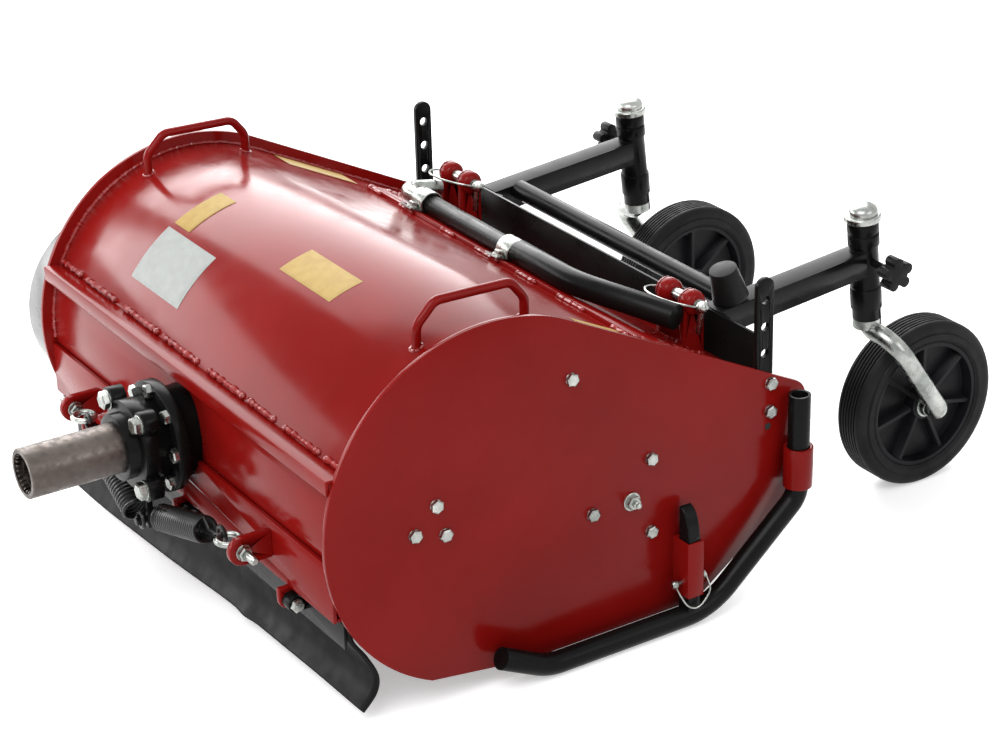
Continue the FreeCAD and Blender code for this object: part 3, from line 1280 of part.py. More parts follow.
def build():
    left_hole = [("0", "0", "rotor_shaft_radius + moving_gap")]
    nodes = {
        "side_plate_left": side_plate("side_plate_left", "-outer_side", left_hole),
        "side_plate_right": side_plate("side_plate_right", "inner_side", []),
        "shell": shell(),
        "rear_angle_bar": rear_angle_bar(),
        "rear_panel": rear_panel(),
        "inner_baffle": inner_baffle(),
        "front_beam": front_beam(),
        "front_guard": front_guard(),
        "carry_handles": group("carry_handles", [carry_handle("carry_handle_left", -1),
                                                 carry_handle("carry_handle_right", 1)]),
        "front_lugs": front_lugs(),
        "top_rod": top_rod(),
        "top_rod_bend": top_rod_bend(),
        "top_rod_clamps": top_rod_clamps(),
        "height_bars": height_bars(),
        "belt_cover": belt_cover(),
        "gearbox": gearbox(),
        "rotor": rotor(),
        "rotor_bearings": rotor_bearings(),
        "hitch_flange": hitch_flange(),
        "hitch_collar": hitch_collar(),
        "hitch_spigot": hitch_spigot(),
        "drive_socket": drive_socket(),
        "spring_left": centring_spring("spring_left", -1),
        "spring_right": centring_spring("spring_right", 1),
        "spring_eyebolts": group("spring_eyebolts", [spring_eyebolt("eyebolt_left", -1),
                                                     spring_eyebolt("eyebolt_right", 1)]),
        "panel_lugs": group("panel_lugs", [spring_lug("spring_lug_left", -1),
                                           spring_lug("spring_lug_right", 1)] + flap_hinge_lugs()),
        "cross_pins": group("cross_pins", flap_pins() + front_lug_pins()),
        "flap_strip": flap_strip(),
        "rubber_flap": rubber_flap(),
        "frame_cross_tube": cross_tube(),
        "frame_stub_caps": stub_cap(),
        "castor_knobs": castor_knobs(),
        "skid_guides": skid_guides(),
    }
    for word, side in (("left", -1), ("right", 1)):
        nodes["frame_arm_" + word] = frame_arm("frame_arm_" + word, side)
        nodes["castor_fork_" + word] = castor_fork("castor_fork_" + word, side)
        nodes["castor_cap_" + word] = castor_cap("castor_cap_" + word, side)
        nodes["tyre_" + word] = tyre("tyre_" + word, side)
        nodes["rim_" + word] = rim("rim_" + word, side)
        nodes["skid_" + word] = skid("skid_" + word, side)
    return nodes


def check(nodes):
    """Stop with a plain message if anything in the document or any sub-part failed."""
    failed = [thing.Name for thing in doc.Objects if {"Invalid", "Error"} & set(thing.State)]
    if failed:
        raise RuntimeError("failed: " + ", ".join(failed))
    for name, piece in nodes.items():
        if piece.Shape.isNull() or not piece.Shape.isValid() or not piece.Shape.Solids:
            raise RuntimeError("%s has no valid solid" % name)


def write(nodes):
    os.makedirs("parts", exist_ok=True)
    for name, piece in nodes.items():
        piece.Label = name
        piece.Shape.exportStep("parts/%s.step" % name)
        print("%-20s %3d solids %9.1f cm3" % (name, len(piece.Shape.Solids), piece.Shape.Volume / 1000))


sub_parts = build()
doc.recompute()
check(sub_parts)
write(sub_parts)
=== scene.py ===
"""Looks of the flail mulcher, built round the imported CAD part.

Sizes are in mm, and places are in mm from the rotor's axis, except where a comment says metres.
"""
import json
import math
import random

import bmesh
import bpy
from mathutils import Matrix, Vector


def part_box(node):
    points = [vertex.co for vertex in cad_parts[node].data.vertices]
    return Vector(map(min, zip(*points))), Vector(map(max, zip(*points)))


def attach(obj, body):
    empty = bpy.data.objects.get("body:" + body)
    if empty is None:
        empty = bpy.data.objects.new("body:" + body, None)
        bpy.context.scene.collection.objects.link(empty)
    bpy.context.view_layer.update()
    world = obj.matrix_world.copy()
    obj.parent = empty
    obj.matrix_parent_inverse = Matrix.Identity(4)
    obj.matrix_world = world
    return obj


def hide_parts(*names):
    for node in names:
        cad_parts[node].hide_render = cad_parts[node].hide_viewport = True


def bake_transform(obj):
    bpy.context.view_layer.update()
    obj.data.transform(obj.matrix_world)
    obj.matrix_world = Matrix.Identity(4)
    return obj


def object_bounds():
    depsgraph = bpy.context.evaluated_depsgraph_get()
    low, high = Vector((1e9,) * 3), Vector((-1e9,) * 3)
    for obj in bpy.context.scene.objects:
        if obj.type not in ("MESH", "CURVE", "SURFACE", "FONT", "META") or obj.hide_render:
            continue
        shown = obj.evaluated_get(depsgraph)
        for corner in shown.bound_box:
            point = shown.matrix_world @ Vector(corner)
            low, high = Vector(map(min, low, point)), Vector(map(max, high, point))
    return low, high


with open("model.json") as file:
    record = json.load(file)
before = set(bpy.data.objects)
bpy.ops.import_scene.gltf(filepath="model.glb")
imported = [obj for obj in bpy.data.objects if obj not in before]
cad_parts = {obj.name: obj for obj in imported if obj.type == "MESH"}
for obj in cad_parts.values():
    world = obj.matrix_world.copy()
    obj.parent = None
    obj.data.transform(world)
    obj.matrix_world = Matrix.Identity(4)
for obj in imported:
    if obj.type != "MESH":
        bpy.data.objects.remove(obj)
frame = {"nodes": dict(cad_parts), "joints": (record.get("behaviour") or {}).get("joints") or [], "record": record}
cad_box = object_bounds()
NODES = frame["nodes"]
JOINTS = {joint["name"]: joint for joint in frame["joints"]}
MM = 0.001
# The rotor's axis, in metres in the row frame.
ROTOR = Vector(JOINTS["rotor_spin"]["pos_m"])
ACROSS_X, BEHIND, AHEAD = Vector((1, 0, 0)), Vector((0, -1, 0)), Vector((0, 1, 0))
# The machine's left and right, or two opposite ways.
BOTH = (-1, 1)
SHARP = math.radians(35)


def at(x, y, z):
    """A point given in mm from the rotor's axis."""
    return ROTOR + Vector((x, y, z)) * MM


# ---------------------------------------------------------------- materials

# Noise scales, in cycles per metre.
COLOUR_DRIFT, GLOSS_DRIFT, PAINT_WAVES, ORANGE_PEEL = 6.0, 35.0, 9.0, 420.0
ZINC_CLOUDS, BRUSHED, SCRATCHES = 60.0, 150.0, 700.0
MOULD_DRIFT, MOULD_GLOSS, MOULD_GRAIN = 25.0, 60.0, 900.0
FILM_MOTTLE, FILM_GRAIN = 90.0, 300.0
NOISE_ROUGHNESS, RAMP_STOPS = 0.55, (0.35, 0.65)
# Bump depths, in metres.
WAVE_DEPTH, FINE_DEPTH, GRAIN_DEPTH = 0.0012, 0.0002, 0.0003


def nodes_of(name):
    """A new material, with its node tree and its shader."""
    material = bpy.data.materials.new(name)
    material.use_nodes = True
    tree = material.node_tree
    return material, tree, tree.nodes["Principled BSDF"]


def add(tree, kind, **inputs):
    """A new shader node with some of its inputs set."""
    node = tree.nodes.new(kind)
    for key, value in inputs.items():
        node.inputs[key.replace("_", " ")].default_value = value
    return node


def noise(tree, scale, detail=4.0):
    """A noise pattern in the object's own coordinates."""
    coordinates = tree.nodes.new("ShaderNodeTexCoord").outputs["Object"]
    node = add(tree, "ShaderNodeTexNoise", Scale=scale, Detail=detail, Roughness=NOISE_ROUGHNESS)
    tree.links.new(coordinates, node.inputs["Vector"])
    return node.outputs["Fac"]


def vary(tree, socket, pattern, low, high):
    """Let a socket drift between two colours with a pattern."""
    node = tree.nodes.new("ShaderNodeValToRGB")
    for element, position, colour in zip(node.color_ramp.elements, RAMP_STOPS, (low, high)):
        element.position = position
        element.color = (*colour, 1)
    tree.links.new(pattern, node.inputs["Fac"])
    tree.links.new(node.outputs["Color"], socket)


def bump(tree, shader, height, strength, distance, under=None):
    """Relief in the shader's normal, laid over another bump node where one is given."""
    node = add(tree, "ShaderNodeBump", Strength=strength, Distance=distance)
    tree.links.new(height, node.inputs["Height"])
    if under:
        tree.links.new(under.outputs["Normal"], node.inputs["Normal"])
    tree.links.new(node.outputs["Normal"], shader.inputs["Normal"])
    return node


def grey(level):
    """A colour without hue."""
    return (level, level, level)


def painted(name, low, high, roughness, gloss, peel):
    """Powder coat: slight colour drift, orange peel and a soft gloss."""
    material, tree, shader = nodes_of(name)
    vary(tree, shader.inputs["Base Color"], noise(tree, COLOUR_DRIFT), low, high)
    vary(tree, shader.inputs["Roughness"], noise(tree, GLOSS_DRIFT),
         grey(roughness * 0.8), grey(roughness * 1.25))
    shader.inputs["Specular IOR Level"].default_value = gloss
    broad = bump(tree, shader, noise(tree, PAINT_WAVES, 2.0), 0.3, WAVE_DEPTH)
    bump(tree, shader, noise(tree, ORANGE_PEEL, 2.0), peel, FINE_DEPTH, broad)
    return material


def plated(name, low, high, roughness, scratch=0.25, clouds=ZINC_CLOUDS):
    """Zinc plate or bare steel: cloudy tint and fine brushed marks."""
    material, tree, shader = nodes_of(name)
    shader.inputs["Metallic"].default_value = 1.0
    vary(tree, shader.inputs["Base Color"], noise(tree, clouds, 6.0), low, high)
    vary(tree, shader.inputs["Roughness"], noise(tree, BRUSHED, 3.0),
         grey(roughness * 0.7), grey(roughness * 1.4))
    bump(tree, shader, noise(tree, SCRATCHES, 3.0), scratch, FINE_DEPTH)
    return material


def moulded(name, low, high, roughness, grain, scale=MOULD_GRAIN):
    """Rubber or plastic: matt, with a fine moulded grain."""
    material, tree, shader = nodes_of(name)
    vary(tree, shader.inputs["Base Color"], noise(tree, MOULD_DRIFT, 5.0), low, high)
    vary(tree, shader.inputs["Roughness"], noise(tree, MOULD_GLOSS),
         grey(roughness * 0.85), grey(roughness * 1.15))
    shader.inputs["Specular IOR Level"].default_value = 0.12
    bump(tree, shader, noise(tree, scale, 3.0), grain, GRAIN_DEPTH)
    return material


def label(name, low, high):
    """A blank film: flat colour, faint mottling, satin sheen."""
    material, tree, shader = nodes_of(name)
    vary(tree, shader.inputs["Base Color"], noise(tree, FILM_MOTTLE), low, high)
    shader.inputs["Roughness"].default_value = 0.45
    shader.inputs["Specular IOR Level"].default_value = 0.1
    bump(tree, shader, noise(tree, FILM_GRAIN), 0.08, FINE_DEPTH)
    return material


# Each row gives the darkest and the lightest base colour, then the function's own values.
MATERIALS = {
    "red_paint": painted("red_paint", (0.18, 0.004, 0.003), (0.22, 0.006, 0.005), 0.17, 0.11, 0.05),
    "black_paint": painted("black_paint", grey(0.003), grey(0.006), 0.28, 0.1, 0.1),
    "grey_paint": painted("grey_paint", grey(0.13), grey(0.18), 0.32, 0.4, 0.08),
    "rotor_paint": painted("rotor_paint", grey(0.012), grey(0.03), 0.5, 0.2, 0.2),
    "zinc": plated("zinc", (0.23, 0.245, 0.23), (0.47, 0.48, 0.455), 0.27),
    "bare_steel": plated("bare_steel", (0.085, 0.071, 0.063), (0.135, 0.116, 0.106), 0.42, 0.4, 14.0),
    "cast_housing": painted("cast_housing", grey(0.02), grey(0.045), 0.55, 0.2, 0.5),
    "flap_rubber": moulded("flap_rubber", grey(0.003), grey(0.006), 0.5, 0.15, 500.0),
    "cap_rubber": moulded("cap_rubber", grey(0.004), grey(0.009), 0.42, 0.15),
    "knob_plastic": moulded("knob_plastic", grey(0.004), grey(0.008), 0.45, 0.3),
    "rim_plastic": moulded("rim_plastic", (0.004, 0.004, 0.005), (0.009, 0.009, 0.011), 0.38, 0.2),
    "tyre": moulded("tyre", grey(0.006), grey(0.013), 0.55, 0.35, 600.0),
    "spring_black": painted("spring_black", grey(0.004), grey(0.009), 0.3, 0.3, 0.05),
    "weld": painted("weld", (0.2, 0.006, 0.005), (0.3, 0.016, 0.014), 0.25, 0.6, 0.3),
    "label_yellow": label("label_yellow", (0.37, 0.24, 0.062), (0.42, 0.285, 0.08)),
    "label_white": label("label_white", (0.32, 0.335, 0.325), (0.36, 0.375, 0.362)),
}

for entry in frame["record"]["subparts"]:
    node = NODES[entry["node"]]
    for place in range(len(node.material_slots)):
        node.material_slots[place].material = MATERIALS[entry["material_slot"]]


# ---------------------------------------------------------------- mesh helpers

def soften(item, width):
    """Small rounds on an object's edges, as modifiers: its own vertices stay where they are."""
    weld = item.modifiers.new("join", "WELD")
    weld.merge_threshold = 0.01 * MM
    bevel = item.modifiers.new("round", "BEVEL")
    bevel.width = width * MM
    bevel.segments = 2
    bevel.limit_method = "ANGLE"
    bevel.angle_limit = SHARP
    bevel.use_clamp_overlap = True
    for polygon in item.data.polygons:
        polygon.use_smooth = True


def piece(name, mesh, body, material, smooth=True):
    """Make a new piece from a bmesh, riding on a body where one is given."""
    bmesh.ops.recalc_face_normals(mesh, faces=mesh.faces)
    built = bpy.data.meshes.new(name)
    mesh.to_mesh(built)
    mesh.free()
    item = bpy.data.objects.new(name, built)
    bpy.context.collection.objects.link(item)
    built.materials.append(MATERIALS[material])
    if smooth:
        for polygon in built.polygons:
            polygon.use_smooth = True
        built.set_sharp_from_angle(angle=SHARP)
    if body:
        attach(item, body)
    return item


def across(axis):
    """Two directions square to an axis and to each other."""
    side = axis.orthogonal().normalized()
    return side, axis.cross(side).normalized()


def frames(points, closed):
    """Two square directions at each point of a line, without twist between them."""
    count = len(points)
    ways = []
    for place in range(count):
        if closed:
            way = points[(place + 1) % count] - points[place - 1]
        else:
            way = points[min(place + 1, count - 1)] - points[max(place - 1, 0)]
        ways.append(way.normalized())
    side = across(ways[0])[0]
    found = []
    for way in ways:
        side = (side - way * side.dot(way)).normalized()
        found.append((side, way.cross(side)))
    return found


def tube(mesh, points, radius, sides=12, closed=False):
    """A round bar along points; radius is a number, or a function of the share of the way along."""
    size = radius if callable(radius) else (lambda place: radius)
    rings = []
    last = len(points) - 1
    for place, (point, (side, up)) in enumerate(zip(points, frames(points, closed))):
        reach = size(place / last) * MM
        rings.append([mesh.verts.new(point + (side * math.cos(turn) + up * math.sin(turn)) * reach)
                      for turn in (2 * math.pi * step / sides for step in range(sides))])
    if not closed:
        skin(mesh, rings)
        return
    for low, high in zip(rings, rings[1:] + rings[:1]):
        shift = 0
        if high is rings[0]:
            shift = min(range(sides), key=lambda step: (high[step].co - low[0].co).length)
        for step in range(sides):
            mesh.faces.new((low[step], low[(step + 1) % sides],
                            high[(step + 1 + shift) % sides], high[(step + shift) % sides]))


def skin(mesh, rings):
    """Faces between rings of equally many vertices, and over both ends."""
    count = len(rings[0])
    for low, high in zip(rings, rings[1:]):
        for step in range(count):
            after = (step + 1) % count
            mesh.faces.new((low[step], low[after], high[after], high[step]))
    mesh.faces.new(list(reversed(rings[0])))
    mesh.faces.new(rings[-1])


def sheet(mesh, grid):
    """Faces between the rows of a grid of vertices."""
    for above, below in zip(grid, grid[1:]):
        for column in range(len(above) - 1):
            mesh.faces.new((above[column], above[column + 1], below[column + 1], below[column]))


def turned(mesh, centre, axis, profile, sides=32):
    """A round piece from (along, radius) points; a radius of 0 closes an end."""
    axis = Vector(axis).normalized()
    side, up = across(axis)
    rings = []
    for along, radius in profile:
        middle = centre + axis * along * MM
        if radius == 0:
            rings.append([mesh.verts.new(middle)])
            continue
        rings.append([mesh.verts.new(middle + (side * math.cos(turn) + up * math.sin(turn)) * radius * MM)
                      for turn in (2 * math.pi * step / sides for step in range(sides))])
    for low, high in zip(rings, rings[1:]):
        for step in range(sides):
            after = (step + 1) % sides
            if len(low) == 1:
                mesh.faces.new((low[0], high[after], high[step]))
            elif len(high) == 1:
                mesh.faces.new((low[step], low[after], high[0]))
            else:
                mesh.faces.new((low[step], low[after], high[after], high[step]))


def hexagon(mesh, centre, axis, flats, height, turn=0.0):
    """A bolt head or nut with its round chamfer, standing on centre along axis."""
    axis = Vector(axis).normalized()
    side, up = across(axis)
    corner, face = flats / math.sqrt(3), flats * 0.46
    levels = ((0, corner), (height * 0.78, corner), (height, face))
    rings = []
    for along, radius in levels:
        rings.append([mesh.verts.new(centre + axis * along * MM
                                     + (side * math.cos(angle) + up * math.sin(angle)) * radius * MM)
                      for angle in (turn + math.pi * step / 3 for step in range(6))])
    skin(mesh, rings)


def bolt(mesh, centre, axis, flats, washer=True, turn=0.0):
    """Washer and hex head; the shank is inside what it holds."""
    lift, head_height = 0.0, flats * 0.42
    if washer:
        lift, rim, outer, inner = 1.6, 0.4, flats * 0.62, flats * 0.58
        turned(mesh, centre, axis, [(0, outer), (lift - rim, outer), (lift, inner), (lift, 0)], 24)
    head = centre + Vector(axis).normalized() * lift * MM
    hexagon(mesh, head, axis, flats, head_height, turn)


def thread(mesh, centre, axis, radius, length):
    """Thread crests as rings, with a chamfered end."""
    pitch, root, crest, chamfer = 1.25, radius - 0.5, radius + 0.1, radius - 1.2
    profile = [(0, root)]
    for number in range(int(length / pitch) - 1):
        profile += [(number * pitch + pitch / 2, crest), ((number + 1) * pitch, root)]
    profile += [(length, chamfer), (length, 0)]
    turned(mesh, centre, axis, profile, 20)


def strap(mesh, points, width, thickness, wide_way):
    """A flat band along points."""
    rings = []
    for place, point in enumerate(points):
        before, after = points[max(place - 1, 0)], points[min(place + 1, len(points) - 1)]
        wide = wide_way * width / 2 * MM
        thick = (after - before).normalized().cross(wide_way).normalized() * thickness / 2 * MM
        rings.append([mesh.verts.new(point + wide * side + thick * up)
                      for side, up in ((-1, -1), (1, -1), (1, 1), (-1, 1))])
    skin(mesh, rings)


def smooth_line(points, steps=8):
    """A rounded line through given points."""
    found = []
    for place in range(len(points) - 1):
        before, start = points[max(place - 1, 0)], points[place]
        end, after = points[place + 1], points[min(place + 2, len(points) - 1)]
        for step in range(steps):
            t = step / steps
            found.append(0.5 * (2 * start + (end - before) * t
                                + (2 * before - 5 * start + 4 * end - after) * t * t
                                + (3 * start - before - 3 * end + after) * t ** 3))
    return found + [points[-1]]


def weld_bead(mesh, points, size, chance):
    """A hand-laid bead: uneven ripples along a line of points, a lump near each end, and spatter.

    How far things are scattered, and their radii, are shares of the bead's size.
    """
    def scatter(reach):
        return Vector([chance.uniform(-reach, reach) * size * MM for way in range(3)])

    def lump(place, radius, finish):
        bmesh.ops.create_icosphere(mesh, subdivisions=finish, radius=radius * MM,
                                   matrix=Matrix.Translation(place))

    ripple, spatter_pitch = size * 1.1, 14
    length = sum((after - before).length for before, after in zip(points, points[1:])) / MM
    count = max(int(length / ripple), 4)
    places, swell = [], []
    for number in range(count + 1):
        reach = number / count * (len(points) - 1)
        low = min(int(reach), len(points) - 2)
        shake = scatter(0.1)
        places.append(points[low].lerp(points[low + 1], reach - low) + shake)
        swell.append(0.7 + 0.6 * chance.random())
    swell[0] = swell[-1] = 0.3
    smoothed = smooth_line(places, 2)
    last = len(smoothed) - 1
    tube(mesh, smoothed, lambda place: size * swell[min(round(place * last / 2), count)], 7)
    for place in (places[1], places[-2]):
        lump(place, size * chance.uniform(0.9, 1.4), 2)
    for number in range(int(length / spatter_pitch)):
        place = chance.choice(places) + scatter(0.9)
        lump(place, chance.uniform(0.3, 0.6) * size, 1)


# ---------------------------------------------------------------- places that the pieces share

def edge(node, corner, axis):
    """One face of a node's box: corner is 0 for its low side and 1 for its high side."""
    return (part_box(node)[corner][axis] - ROTOR[axis]) / MM


SIGN = {"left": -1, "right": 1}
# Joints, in metres in the row frame.
HITCH = Vector(JOINTS["hitch_roll"]["pos_m"])
FLAP_HINGE = Vector(JOINTS["flap_swing"]["pos_m"])
WHEEL = {word: Vector(JOINTS["wheel_%s_spin" % word]["pos_m"]) for word in SIGN}
OUTER_SIDE, INNER_SIDE = edge("side_plate_right", 1, 0), edge("side_plate_right", 0, 0)
# The shell's round back, and the slope of its front.
SHELL_BACK, SHELL_UP, SHELL_RADIUS, TOP_SLOPE = -150.0, 45.0, 168.0, math.radians(26.5)
SLOPE_OUT = Vector((0, math.sin(TOP_SLOPE), math.cos(TOP_SLOPE)))
# Screw heads, across their flats.
M6, M8, M10, PLATE_HEAD = 10.0, 13.0, 16.0, 11.6
# The gearbox's cross shaft, the front beam on the slope, the frame's arms, the top rod and its clamps.
GEAR_SHAFT = (-220, 43)
BEAM_HALF, BEAM_BACK, BEAM_FRONT = 250, 39, 115
ARM_SIDE, ROD_AHEAD, CLAMPS = 206, 62, (-160, 10)
# The pairs of front lugs, the springs' eyebolts and the skids' box guides.
LUG_AHEAD, LUG_UP, LUG_SIDE, LUG_PITCH, LUG_HALF = 132.0, 144.0, 204.5, 37.0, 4.0
EYE_SIDE, EYE_BACK, EYE_UP = 160, -352.0, 5.0
GUIDE_SIDE = OUTER_SIDE + 15


def on_shell(x, angle, lift=0.0):
    """A point on the shell's round back; angle is from level behind, upwards, in degrees."""
    turn, radius = math.radians(angle), SHELL_RADIUS + lift
    return at(x, SHELL_BACK - radius * math.cos(turn), SHELL_UP + radius * math.sin(turn))


def on_top(x, y, lift=0.0):
    """A point on the shell's sloping front."""
    line_start = SHELL_UP + SHELL_RADIUS / math.cos(TOP_SLOPE) + SHELL_BACK * math.tan(TOP_SLOPE)
    z = line_start - y * math.tan(TOP_SLOPE) + lift * math.cos(TOP_SLOPE)
    return at(x, y + lift * math.sin(TOP_SLOPE), z)


def lug_places(sign):
    """The two front lugs of one side."""
    return [sign * LUG_SIDE + lug * LUG_PITCH / 2 for lug in BOTH]


def on_circle(y, z, radius, angles):
    """Places on a circle in a side plate; angles in degrees."""
    turns = [math.radians(angle) for angle in angles]
    return [(y + radius * math.cos(turn), z + radius * math.sin(turn)) for turn in turns]


# ---------------------------------------------------------------- screws

def plate_bolts():
    """Screws on the right side plate, and a dark disc of painted shade that stands in for its empty hole at the
    front corner.
    """
    mesh = bmesh.new()
    stay, corner, empty_hole = [(-67, 146.5)], [(165, 79), (165, 49)], (163, 33)
    places = stay + corner + on_circle(0, 0, 45, (60, 180, -60)) + on_circle(*GEAR_SHAFT, 19, (75, 195, -45))
    lip, head_seat, head_height = [(0, 6.4), (0.7, 6.2), (0.7, 0)], 0.6, 4.6
    for number, (y, z) in enumerate(places):
        turned(mesh, at(OUTER_SIDE, y, z), ACROSS_X, lip, 24)
        hexagon(mesh, at(OUTER_SIDE + head_seat, y, z), ACROSS_X, PLATE_HEAD, head_height, 0.3 * number)
    washer, nut_height = [(0, 9.5), (1.4, 9.5), (1.8, 9), (1.8, 0)], 5.5
    nipple = [(0, 3.4), (2, 3.4), (3, 2), (4.6, 2), (6, 2.8), (7, 1.4), (7, 0)]
    nut_seat = OUTER_SIDE + washer[-1][0]
    turned(mesh, at(OUTER_SIDE, 0, 0), ACROSS_X, washer)
    hexagon(mesh, at(nut_seat, 0, 0), ACROSS_X, M8, nut_height, 0.2)
    turned(mesh, at(nut_seat + nut_height, 0, 0), ACROSS_X, nipple, 20)
    piece("plate_bolts", mesh, "housing", "zinc")
    # The empty hole is not cut: a dark disc just proud of the plate paints the shade seen inside it.
    hole_shade_disc = bmesh.new()
    turned(hole_shade_disc, at(OUTER_SIDE, *empty_hole), ACROSS_X, [(0.05, 3.6), (0.25, 3.6), (0.25, 0)], 20)
    piece("plate_hole_painted_shade", hole_shade_disc, "housing", "rotor_paint")


def cover_bolts():
    """Flat button screws round the belt cover's lid on the left, and the lid's two round bosses."""
    face = edge("belt_cover", 0, 0)
    button = [(0, 9), (0.4, 8.8), (0.5, 6.4), (1.4, 5.4), (2, 3.4), (1, 3.2), (1, 0)]
    mesh = bmesh.new()
    for y, z in ((-220, 132), (-302, 43), (-220, -46), (-120, 88), (-110, -32), (26, 0)):
        turned(mesh, at(face, y, z), -ACROSS_X, button, 24)
    piece("cover_bolts", mesh, "housing", "zinc")
    mesh = bmesh.new()
    for (y, z), radius in ((GEAR_SHAFT, 30), ((0, 0), 17)):
        boss = [(0, radius + 5), (0.8, radius + 4), (1.6, radius), (1.6, 0)]
        turned(mesh, at(face, y, z), -ACROSS_X, boss, 48)
    piece("cover_bosses", mesh, "housing", "grey_paint")


def hitch_bolts():
    """Screws of the fixed flange, and the heads in the collar's lobes."""
    ring = 49 * MM
    flange = ("flange_bolts", "housing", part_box("hitch_flange")[0][1], 8, 0, M8, False)
    collar = ("collar_bolts", "hitch", HITCH[1] - 18 * MM, 4, 45, M10, True)
    for name, body, face, count, first, flats, washer in (flange, collar):
        mesh = bmesh.new()
        for number in range(count):
            turn = math.radians(first + 360 / count * number)
            spot = Vector((ring * math.cos(turn), face, ring * math.sin(turn)))
            bolt(mesh, spot, BEHIND, flats, washer=washer, turn=turn)
        piece(name, mesh, body, "zinc")


def rear_screws():
    """Nuts and threads of the eyebolts, and the screws that the flap hangs on."""
    mesh = bmesh.new()
    outer_nut, inner_nut, thread_start, thread_radius, thread_length = 190, 182, 198, 4.0, 15
    for sign in BOTH:
        way = ACROSS_X * sign
        bolt(mesh, at(sign * outer_nut, EYE_BACK, EYE_UP), way, M8)
        bolt(mesh, at(sign * inner_nut, EYE_BACK, EYE_UP), -way, M8)
        thread(mesh, at(sign * thread_start, EYE_BACK, EYE_UP), way, thread_radius, thread_length)
    flats, lug_pitch, lug_face, knuckle_face = 12.0, 215, -3, 17.6
    for station in (-lug_pitch, 0, lug_pitch):
        bolt(mesh, FLAP_HINGE + ACROSS_X * (station + lug_face) * MM, -ACROSS_X, flats)
        hexagon(mesh, FLAP_HINGE + ACROSS_X * (station + knuckle_face) * MM, ACROSS_X, flats, 5.0, 0.4)
    piece("rear_screws", mesh, "housing", "zinc")


def rotor_screws():
    """The pivot screw of each hammer, with a head on both of its lugs."""
    rows, hammers, bearing_reach, end_margin = 4, 6, 21, 22
    lug_face, pivot_radius, flats = 8, 57, 11.0
    mesh = bmesh.new()
    tube_half = edge("rotor_bearings", 1, 0) - bearing_reach
    pitch, start = (2 * tube_half - 2 * end_margin) / (hammers - 0.5), end_margin - tube_half
    for row in range(rows):
        turn = 2 * math.pi * row / rows
        way = Vector((0, -math.sin(turn), math.cos(turn)))
        for step in range(hammers):
            x = start + pitch * (step + 0.5 * (row % 2))
            for sign in BOTH:
                spot = at(x + sign * lug_face, 0, 0) + way * pivot_radius * MM
                bolt(mesh, spot, ACROSS_X * sign, flats, washer=False, turn=turn)
    piece("rotor_screws", mesh, "rotor_body", "zinc")


def front_screws():
    """Screws of the arms' foot plates and of the saddle clamps, and the clamps' flat ears."""
    mesh, ears = bmesh.new(), bmesh.new()
    foot_thickness, foot_up, foot_pitch = 5.3, 78, 38
    foot_face = edge("front_guard", 1, 1) + foot_thickness
    for sign in BOTH:
        for way in BOTH:
            bolt(mesh, at(sign * ARM_SIDE + way * foot_pitch / 2, foot_face, foot_up), AHEAD, M8, turn=0.2)
    ear_start, ear_end, ear_width, ear_thickness, ear_lift = 13, 29, 22, 1.8, 5.5
    for x in CLAMPS:
        for way in BOTH:
            head = on_top(x, ROD_AHEAD + way * (ear_start + ear_end) / 2, ear_lift + ear_thickness / 2)
            bolt(mesh, head, SLOPE_OUT, M6, turn=0.5)
            line = [on_top(x, ROD_AHEAD + way * reach, ear_lift) for reach in (ear_start, ear_end)]
            strap(ears, line, ear_width, ear_thickness, ACROSS_X)
    piece("front_screws", mesh, "housing", "zinc")
    piece("clamp_ears", ears, "housing", "zinc")


# ---------------------------------------------------------------- welds

HANDLE_SIDE, HANDLE_FEET = 272, (-208, -94)


def broken_seam(mesh, line, first, last, chance, shortest, size, run, gap):
    """Beads with gaps between them; line gives the point at x, and run and gap are (least, spread)."""
    x = first
    while x < last - shortest:
        end = min(x + run[0] + run[1] * chance.random(), last)
        weld_bead(mesh, [line(x), line(end)], size, chance)
        x = end + gap[0] + gap[1] * chance.random()


def handle_foot(sign, y):
    """The half circle where a carrying handle's foot meets the round back."""
    from_middle, ring = y - SHELL_BACK, 5.4
    foot = at(sign * HANDLE_SIDE, y, SHELL_UP + math.sqrt(SHELL_RADIUS ** 2 - from_middle ** 2))
    fall = from_middle / 170
    return [foot + Vector((math.cos(turn), math.sin(turn), -math.sin(turn) * fall)) * ring * MM
            for turn in (math.pi * step / 8 for step in range(17))]


